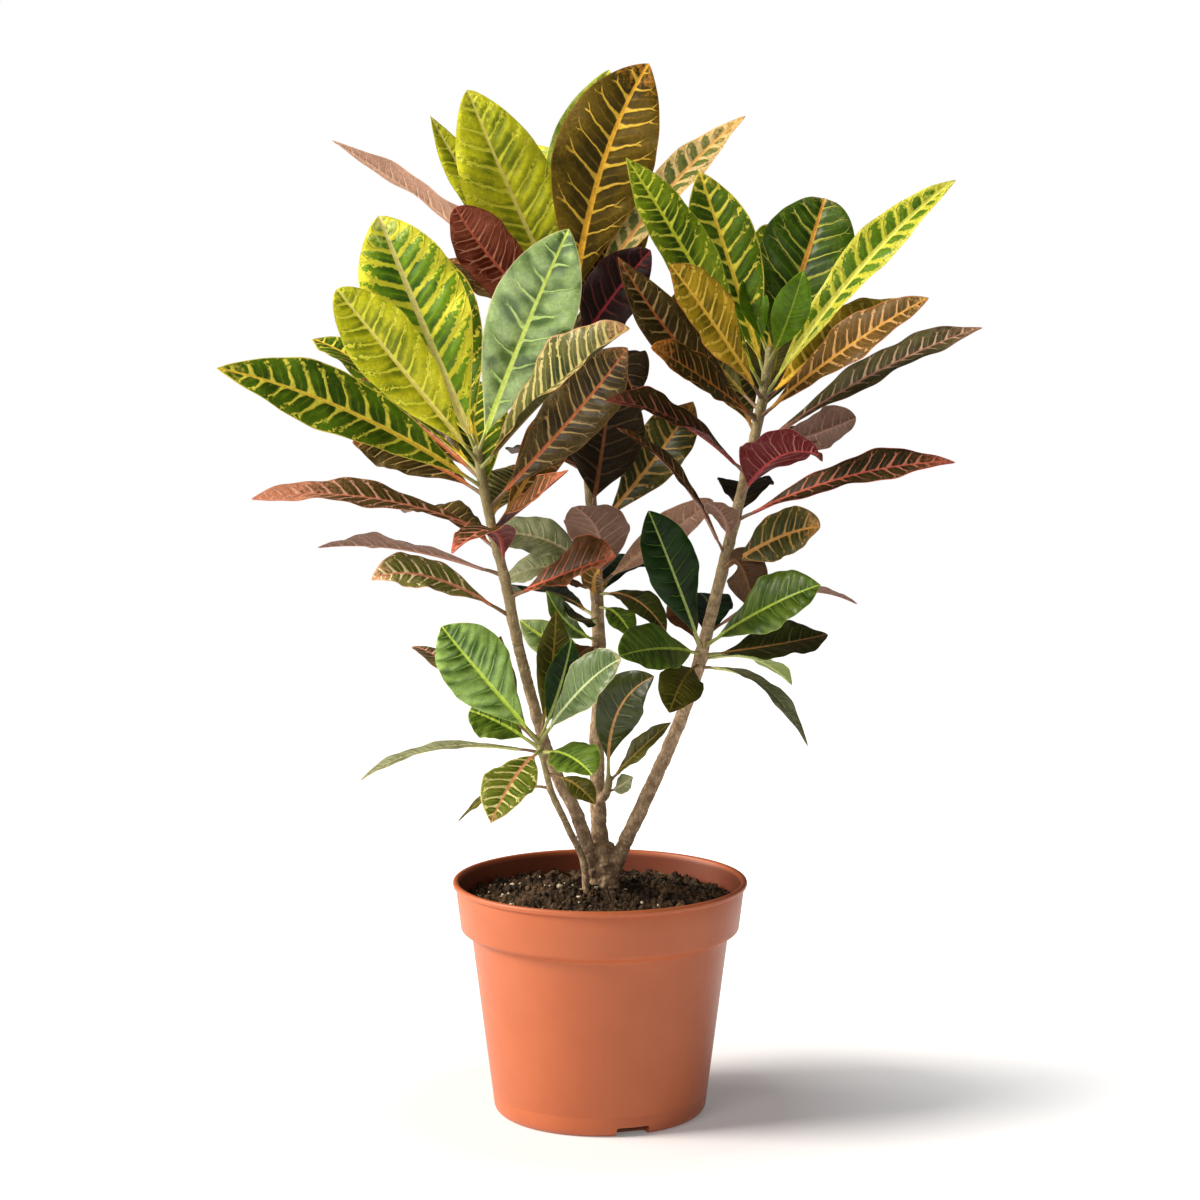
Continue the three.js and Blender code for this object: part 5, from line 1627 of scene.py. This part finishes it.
@dataclass
class Pot:
    """The round nursery pot, in millimetres.

    Attributes:
        height: Its full height.
        lip_radius: Radius of the rolled lip.
        band_top: Radius of the rim band under the lip.
        band_foot: Radius at the band's lower edge.
        band_foot_level: Level of that edge.
        shoulder: Radius of the body under the band.
        shoulder_level: Level where the body begins.
        foot: Radius low on the body.
        foot_level: Level where the body turns in to the base.
        base: Radius of the flat underside.
        wall: Thickness of the wall.
        floor: Thickness of the floor.
        slot_count: How many drain slots there are.
        slot_width: Width of a slot.
        slot_height: Height of a slot.
        slot_inner: How near the middle a slot reaches.
        slot_angle: Where the first slot is, in degrees.
        sides: Facets round the pot.
        finish: What it is made of.
    """

    height: float = 152.0
    lip_radius: float = 95.0
    band_top: float = 93.4
    band_foot: float = 90.0
    band_foot_level: float = BAND_FOOT
    shoulder: float = 83.0
    shoulder_level: float = 116.5
    foot: float = 69.0
    foot_level: float = 6.0
    base: float = 64.0
    wall: float = 2.2
    floor: float = 3.0
    slot_count: int = 3
    slot_width: float = 22.0
    slot_height: float = 6.0
    slot_inner: float = 57.0
    slot_angle: float = -72.0
    sides: int = 144
    finish: PotPlastic = PotPlastic()

    def rings(self) -> list[tuple[float, float]]:
        """Gives the wall's rings: underside, body, band, lip and back down inside."""
        lean = (self.shoulder - self.foot) / (self.shoulder_level - self.foot_level)
        rings = [(30.0, 0.8), (52.0, 0.8), (54.0, 0.0), (self.base, 0.0)]
        for step in range(1, 6):
            turn = math.pi / 2 * step / 6
            reach = self.foot - self.base
            rings.append((self.base + reach * math.sin(turn), self.foot_level * (1 - math.cos(turn))))
        rings.append((self.foot, self.foot_level))
        for level in (12.0, 12.5, 13.1, 13.6, 50.0, 80.0, 104.0):
            # A faint line where the base plate of the mould met its wall.
            groove = 0.18 if level in (12.5, 13.1) else 0.0
            rings.append((self.foot + lean * (level - self.foot_level) - groove, level))
        body, band, rim, lip = self.shoulder, self.band_foot, self.band_top, self.lip_radius
        step, top = self.band_foot_level, self.height
        return rings + [
            (body - 0.3, step - 7.5), (body - 0.1, step - 6), (body + 0.5, step - 5),
            (body + 1.6, step - 4.1), (band - 1.4, step - 1.8), (band - 0.5, step - 1),
            (band - 0.1, step - 0.1), (band + 0.1, step + 1.2), (91.6, 135.0),
            (rim - 0.35, top - 5.2), (rim - 0.5, top - 4.6), (rim - 0.4, top - 4.1),
            (lip - 0.9, top - 3.7), (lip - 0.2, top - 3.2), (lip, top - 2.4), (lip, top - 1.4),
            (lip - 0.3, top - 0.6), (lip - 0.9, top - 0.1), (93.6, top), (92.6, top - 0.05),
            (91.8, top - 0.4), (91.3, top - 1.2), (rim - self.wall - 0.1, top - 5),
            (band - self.wall, step), (84.0, step - 2.6), (body - self.wall, self.shoulder_level),
            (self.foot - self.wall, self.foot_level), (self.base - 1, self.floor), (30.0, self.floor),
        ]

    def build(self) -> None:
        """Makes the pot, cuts its slots and dresses it."""
        pot = ringed_body("pot_plastic", self.rings(), self.sides)
        cutters = []
        for k in range(self.slot_count):
            angle = math.radians(self.slot_angle + 360 / self.slot_count * k)
            reach = self.foot + 6 - self.slot_inner
            bpy.ops.mesh.primitive_cube_add(size=1)
            cutter = added("slot_cutter")
            cutter.scale = (reach * MM, self.slot_width * MM, 2 * self.slot_height * MM)
            middle = self.slot_inner + reach / 2
            cutter.location = (middle * math.cos(angle) * MM, middle * math.sin(angle) * MM, 0)
            cutter.rotation_euler = (0, 0, angle)
            bpy.ops.object.transform_apply(location=True, rotation=True, scale=True)
            with_modifier(cutter, "BEVEL", width=1.4 * MM, segments=4)
            cutters.append(cutter)
        cutter = joined("slot_cutters", cutters)
        with_modifier(pot, "BOOLEAN", object=cutter, operation="DIFFERENCE", solver="EXACT")
        bpy.data.objects.remove(cutter)
        select_only(pot)
        bpy.ops.object.shade_smooth_by_angle(angle=math.radians(38))
        pot.data.materials.append(self.finish.material())
        hand_over(pot, "pot", "pot_plastic")


# ------------------------------------------------------------------ the potting mix


@dataclass(frozen=True)
class PottingMix:
    """Composted bark and peat: dark, crumbly and dull, a little lighter where it has dried.

    Attributes:
        name: What it is called.
        damp: Colour of the damp crumbs.
        dry: Colour of the dried crumbs.
    """

    name: str = "composted potting mix"
    damp: str = "#22180f"
    dry: str = "#644c34"

    def material(self) -> Material:
        """Gives the mix's material."""
        material, t = new_material(self.name)
        here = add(t, "TexCoord", out="Object")
        # Crumbs are 1 to 4 mm.
        crumbs = add(t, "TexNoise", {"Vector": here, "Scale": 520.0, "Detail": 7.0, "Roughness": 0.72})
        clods = add(t, "TexVoronoi", {"Vector": here, "Scale": 300.0})
        patches = add(t, "TexNoise", {"Vector": here, "Scale": 60.0, "Detail": 3.0})
        tone = add(t, "Math MULTIPLY", [crumbs, patches])
        tone = add(t, "MapRange", [tone, 0.2, 0.36])
        hues = {0: tone, MIX_A: self.damp, MIX_B: self.dry}
        colour = add(t, "Mix", hues, MIX_COLOUR, data_type="RGBA")
        relief = add(t, "Math MULTIPLY_ADD", [clods, -0.7, crumbs])
        bump = add(t, "Bump", {"Strength": 1.0, "Distance": 1.6 * MM, "Height": relief})
        look = {"Base Color": colour, "Roughness": 0.93, "Specular IOR Level": 0.25, "Normal": bump}
        add(t, "OutputMaterial", {"Surface": add(t, "BsdfPrincipled", look)})
        return material


@dataclass(frozen=True)
class Grain:
    """Loose bits that lie on the mix, such as perlite or bark.

    Attributes:
        piece: The name of the piece that they make.
        name: What they are.
        light: Their lighter colour.
        dark: Their darker colour.
        rough: Their roughness.
        count: How many there are, before those that would touch the pot or the stump are left out.
        sizes: Least and greatest radius, in millimetres.
        flat: Whether they are long and thin.
        clear: Millimetres to the right of the axis where hardly any lie.
    """

    piece: str
    name: str
    light: str
    dark: str
    rough: float
    count: int
    sizes: tuple[float, float]
    flat: bool = False
    clear: float = 0.0

    def material(self) -> Material:
        """Gives the material."""
        material, t = new_material(self.name)
        here = add(t, "TexCoord", out="Object")
        spots = add(t, "TexNoise", {"Vector": here, "Scale": 60.0, "Detail": 4.0})
        tone = add(t, "MapRange", [spots, 0.35, 0.65])
        hues = {0: tone, MIX_A: self.dark, MIX_B: self.light}
        colour = add(t, "Mix", hues, MIX_COLOUR, data_type="RGBA")
        bump = add(t, "Bump", {"Strength": 0.7, "Distance": 0.4 * MM, "Height": spots})
        look = {"Base Color": colour, "Roughness": self.rough, "Normal": bump}
        add(t, "OutputMaterial", {"Surface": add(t, "BsdfPrincipled", look)})
        return material


GRAINS = (
    Grain("soil_crumbs", "crumb of potting mix", "#644c35", "#1c130b", 0.95, 1100, (0.4, 2.6)),
    Grain(
        "perlite_grains", "perlite, a puffed volcanic glass", "#eaddc0", "#a08a62", 0.75, 360,
        (0.8, 2.3), clear=40,
    ),
    Grain("bark_chips", "composted bark chip", "#7a5a3a", "#2c1e14", 0.85, 260, (0.7, 2.2), flat=True),
)


@dataclass
class Soil:
    """The potting mix that fills the pot, in millimetres.

    Attributes:
        edge_level: Its level at the wall.
        mound: How much higher it is round the stump.
        mound_spread: How far out the mound reaches.
        gap: Air between the mix and the pot.
        stump_clear: How far round the stump no loose bits lie.
        reach: How far from the pot's axis loose bits lie, at the most.
        mix: Its finish.
    """

    edge_level: float = 137.0
    mound: float = 11.0
    mound_spread: float = 51.0
    gap: float = 0.3
    stump_clear: float = 14
    reach: float = 88.0
    mix: PottingMix = PottingMix()
    STEPS, SIDES = 120, 400  # rings of the surface, and points in a ring

    def level(self, x: float, y: float) -> float:
        """Gives the level of the crumbly surface.

        Args:
            x: Millimetres from the pot's axis.
            y: Millimetres from the pot's axis.

        Returns:
            The level.
        """
        mound = self.mound * math.exp(-(x * x + y * y) / self.mound_spread**2)
        broad = math.sin(0.19 * x + 1.3) * math.cos(0.23 * y) + math.sin(0.37 * x + 0.31 * y)
        where = Vector((x, y, 0.0))
        clods = abs(noise.noise(where * 0.11)) * 6.4 + abs(noise.noise(where * 0.27)) * 4.2
        clods += abs(noise.noise(where * 0.55)) * 2.6 - 0.5
        # Watering has washed a hollow beside the stump.
        hollow = 3.5 * math.exp(-(((x - 19) / 9) ** 2) - ((y + 6) / 12) ** 2)
        rough = noise.noise(where * 0.95) * 1.1
        return self.edge_level + mound + 1.0 * broad + clods - 2.4 - hollow + rough

    def build(self, pot: Pot) -> None:
        """Makes the mix and what lies on it.

        Args:
            pot: What holds it.
        """
        inset = pot.wall + self.gap
        edge = pot.band_top - inset - 1.6
        rings = [(30.0, pot.floor + self.gap), (pot.base - 1.5, pot.floor + self.gap)]
        rings += [(pot.foot - inset, pot.foot_level), (pot.shoulder - inset, pot.shoulder_level)]
        rings += [(pot.band_foot - inset, pot.band_foot_level), (edge, 134.0)]
        rings += [(edge * (self.STEPS - i) / self.STEPS, pot.height) for i in range(self.STEPS)]
        body = ringed_body("potting_mix", rings, self.SIDES)
        points = places(body.data)
        for i, (x, y, z) in enumerate(points / MM):
            if z > pot.height - 1:  # the surface, still flat and at the pot's height
                points[i, 2] = self.level(x, y) * MM
        put(body.data, points)
        body.data.shade_smooth()
        body.data.materials.append(self.mix.material())
        hand_over(body, "soil", "potting_mix")
        dice = random.Random(7)
        for grain in GRAINS:
            self._scatter(grain, dice)

    def _scatter(self, grain: Grain, dice: random.Random) -> None:
        """Strews small lumps over the mix, half sunk in it.

        Args:
            grain: What they are.
            dice: The source of chance.
        """
        bpy.ops.mesh.primitive_ico_sphere_add(subdivisions=1, radius=1)
        seed = added(grain.piece)
        shape = places(seed.data)
        faces = [tuple(face.vertices) for face in seed.data.polygons]
        points, all_faces = [], []
        for _ in range(grain.count):
            reach = self.reach * math.sqrt(dice.random())
            angle = dice.uniform(0, 2 * math.pi)
            x, y = reach * math.cos(angle), reach * math.sin(angle)
            if math.dist((x, y), STUMP) < self.stump_clear:
                continue
            if grain.clear and dice.random() < (x + 0.6 * y + self.reach) / (self.reach + grain.clear):
                continue
            least, greatest = grain.sizes
            size = least + (greatest - least) * dice.random() ** 3
            jitter = np.array([[dice.uniform(0.6, 1.25)] for _ in shape])
            lump = shape * jitter * size
            if grain.flat:
                lump = lump * np.array([2.6, 0.9, 0.45])
            turn = dice.uniform(0, 2 * math.pi)
            tilt = dice.uniform(-0.5, 0.5)
            c, s = math.cos(tilt), math.sin(tilt)
            lean = np.array([[c, 0, s], [0, 1, 0], [-s, 0, c]])
            c, s = math.cos(turn), math.sin(turn)
            spin = np.array([[c, -s, 0], [s, c, 0], [0, 0, 1]])
            lump = lump @ lean.T @ spin.T
            base = sum(len(p) for p in points)
            far = np.hypot(lump[:, 0] + x, lump[:, 1] + y).max()
            if far > self.reach + 0.8:
                continue
            rise = 0.7 if grain.clear else 0.1
            points.append(lump + np.array([x, y, self.level(x, y) + rise * size]))
            all_faces += [tuple(i + base for i in face) for face in faces]
        mesh = bpy.data.meshes.new(grain.piece)
        mesh.from_pydata([tuple(p * MM) for p in np.concatenate(points)], [], all_faces)
        seed.data = mesh
        mesh.materials.append(grain.material())
        hand_over(seed, "soil", "potting_mix")


# ------------------------------------------------------------------ the studio


@dataclass
class Studio:
    """The white floor, the soft light from the left and the camera.

    Attributes:
        camera_place: Where the camera is, in metres.
        camera_pitch: How far it looks down, in degrees.
        lens: Focal length on a 36 mm sensor, in millimetres.
        main: Strength of the main light.
        front: Strength of the light in front, in watts.
        side: Strength of the light at the left and a little behind, in watts.
        around: Strength of the surround.
        glow: How much the floor glows.
    """

    camera_place: Point = (0.0, -2.1, 0.617)
    camera_pitch: float = 7.68
    lens: float = 99.5
    main: float = 3.8
    front: float = 15.0
    side: float = 22.0
    around: float = 0.16
    glow: float = 0.13

    def camera(self) -> None:
        """Sets the camera as the photograph's view has it."""
        data = bpy.data.cameras.new("camera")
        data.lens, data.sensor_width = self.lens, 36.0
        data.clip_end = 50.0
        camera = bpy.data.objects.new("camera", data)
        camera.location = self.camera_place
        camera.rotation_euler = (math.radians(90 - self.camera_pitch), 0, 0)
        bpy.context.scene.collection.objects.link(camera)
        bpy.context.scene.camera = camera

    def floor(self) -> None:
        """Lays a white floor that glows a little, so that all but the shadow is white."""
        bpy.ops.mesh.primitive_circle_add(vertices=96, radius=6, fill_type="NGON")
        floor = added("floor")
        material, t = new_material("matt white floor")
        here = add(t, "TexCoord", out="Object")
        far = add(t, "VectorMath LENGTH", [here], "Value")
        clear = add(t, "MapRange", [far, 0.9, 2.6])
        white = add(t, "BsdfDiffuse", {"Color": "#ebebeb"})
        # The glow grows from near the pot outwards, painted light that lifts the cast shadows on the floor
        # to white further out.
        brighter = add(t, "MapRange", [far, 0.12, 0.36, self.glow, 5 * self.glow])
        glow = add(t, "Emission", {"Color": "#ffffff", "Strength": brighter})
        lit = add(t, "AddShader", [white, glow])
        nothing = add(t, "BsdfTransparent")
        add(t, "OutputMaterial", {"Surface": add(t, "MixShader", [clear, lit, nothing])})
        floor.data.materials.append(material)

    def lights(self) -> None:
        """Sets a soft main light at the left, two weaker ones and a pale surround."""
        aim = Vector((0.0, 0.0, 0.3))
        for name, kind, place, colour, energy, settings in (
            ("main", "SUN", (-2.3, -0.5, 2.0), "#fff8f0", self.main, {"angle": math.radians(24)}),
            ("front", "AREA", (-1.3, -2.4, 1.3), "#fffaf4", self.front, {"shape": "DISK", "size": 1.3}),
            ("side", "AREA", (-1.9, 0.25, 0.7), "#fff6ec", self.side, {"shape": "DISK", "size": 1.0}),
        ):
            data = bpy.data.lights.new(name, kind)
            data.color, data.energy = linear(colour)[:3], energy
            for key, value in settings.items():
                setattr(data, key, value)
            lamp = bpy.data.objects.new(name, data)
            lamp.location = place
            lamp.rotation_euler = (aim - lamp.location).to_track_quat("-Z", "Y").to_euler()
            bpy.context.scene.collection.objects.link(lamp)
        world = bpy.data.worlds.new("pale surround")
        world.use_nodes = True
        tree = world.node_tree
        tree.nodes.clear()
        path = add(tree, "LightPath", out="Is Camera Ray")
        glossy = path.node.outputs["Is Glossy Ray"]
        around = add(tree, "Background", {"Color": "#f4f8ff", "Strength": self.around})
        mirrored = add(tree, "Background", {"Color": "#f4f8ff", "Strength": 0.5 * self.around})
        backdrop = add(tree, "Background", {"Color": "#ffffff", "Strength": 1.0})
        lit = add(tree, "MixShader", [glossy, around, mirrored])
        add(tree, "OutputWorld", {"Surface": add(tree, "MixShader", [path, lit, backdrop])})
        bpy.context.scene.world = world
        bpy.context.scene.view_settings.view_transform = "Standard"


def main() -> None:
    """Builds the plant, its pot and the studio."""
    logging.basicConfig(level=logging.INFO, format="%(name)s: %(message)s")
    studio = Studio()
    studio.camera()
    pot = Pot()
    pot.build()
    Soil().build(pot)
    wood = WoodBuilder(Bark())
    hand_over(Trunk().build(wood), "trunk", "bark")
    maker = LeafBuilder(LeafShape())
    lengths = (
        LeafyLength("left_crown", LEFT_STEM, LEFT_CROWN_LEAVES),
        LeafyLength("centre_crown", CENTRE_STEM, CENTRE_CROWN_LEAVES, low=CENTRE_CROWN_FROM),
        LeafyLength("right_crown", RIGHT_STEM, RIGHT_CROWN_LEAVES, low=RIGHT_CROWN_FROM),
        LeafyLength("right_lower_leaves", RIGHT_STEM, RIGHT_LOWER_LEAVES, high=RIGHT_CROWN_FROM),
        LeafyLength("centre_lower_leaves", CENTRE_STEM, CENTRE_LOWER_LEAVES, high=CENTRE_CROWN_FROM),
        LeafyLength("sucker", SUCKER_STEM, SUCKER_LEAVES),
        LeafyLength("twig", TWIG_STEM, TWIG_LEAVES),
    )
    for length in lengths:
        length.build(wood, maker)
    maker.clear_blanks()
    studio.floor()
    studio.lights()
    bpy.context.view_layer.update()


if __name__ == "__main__":
    main()
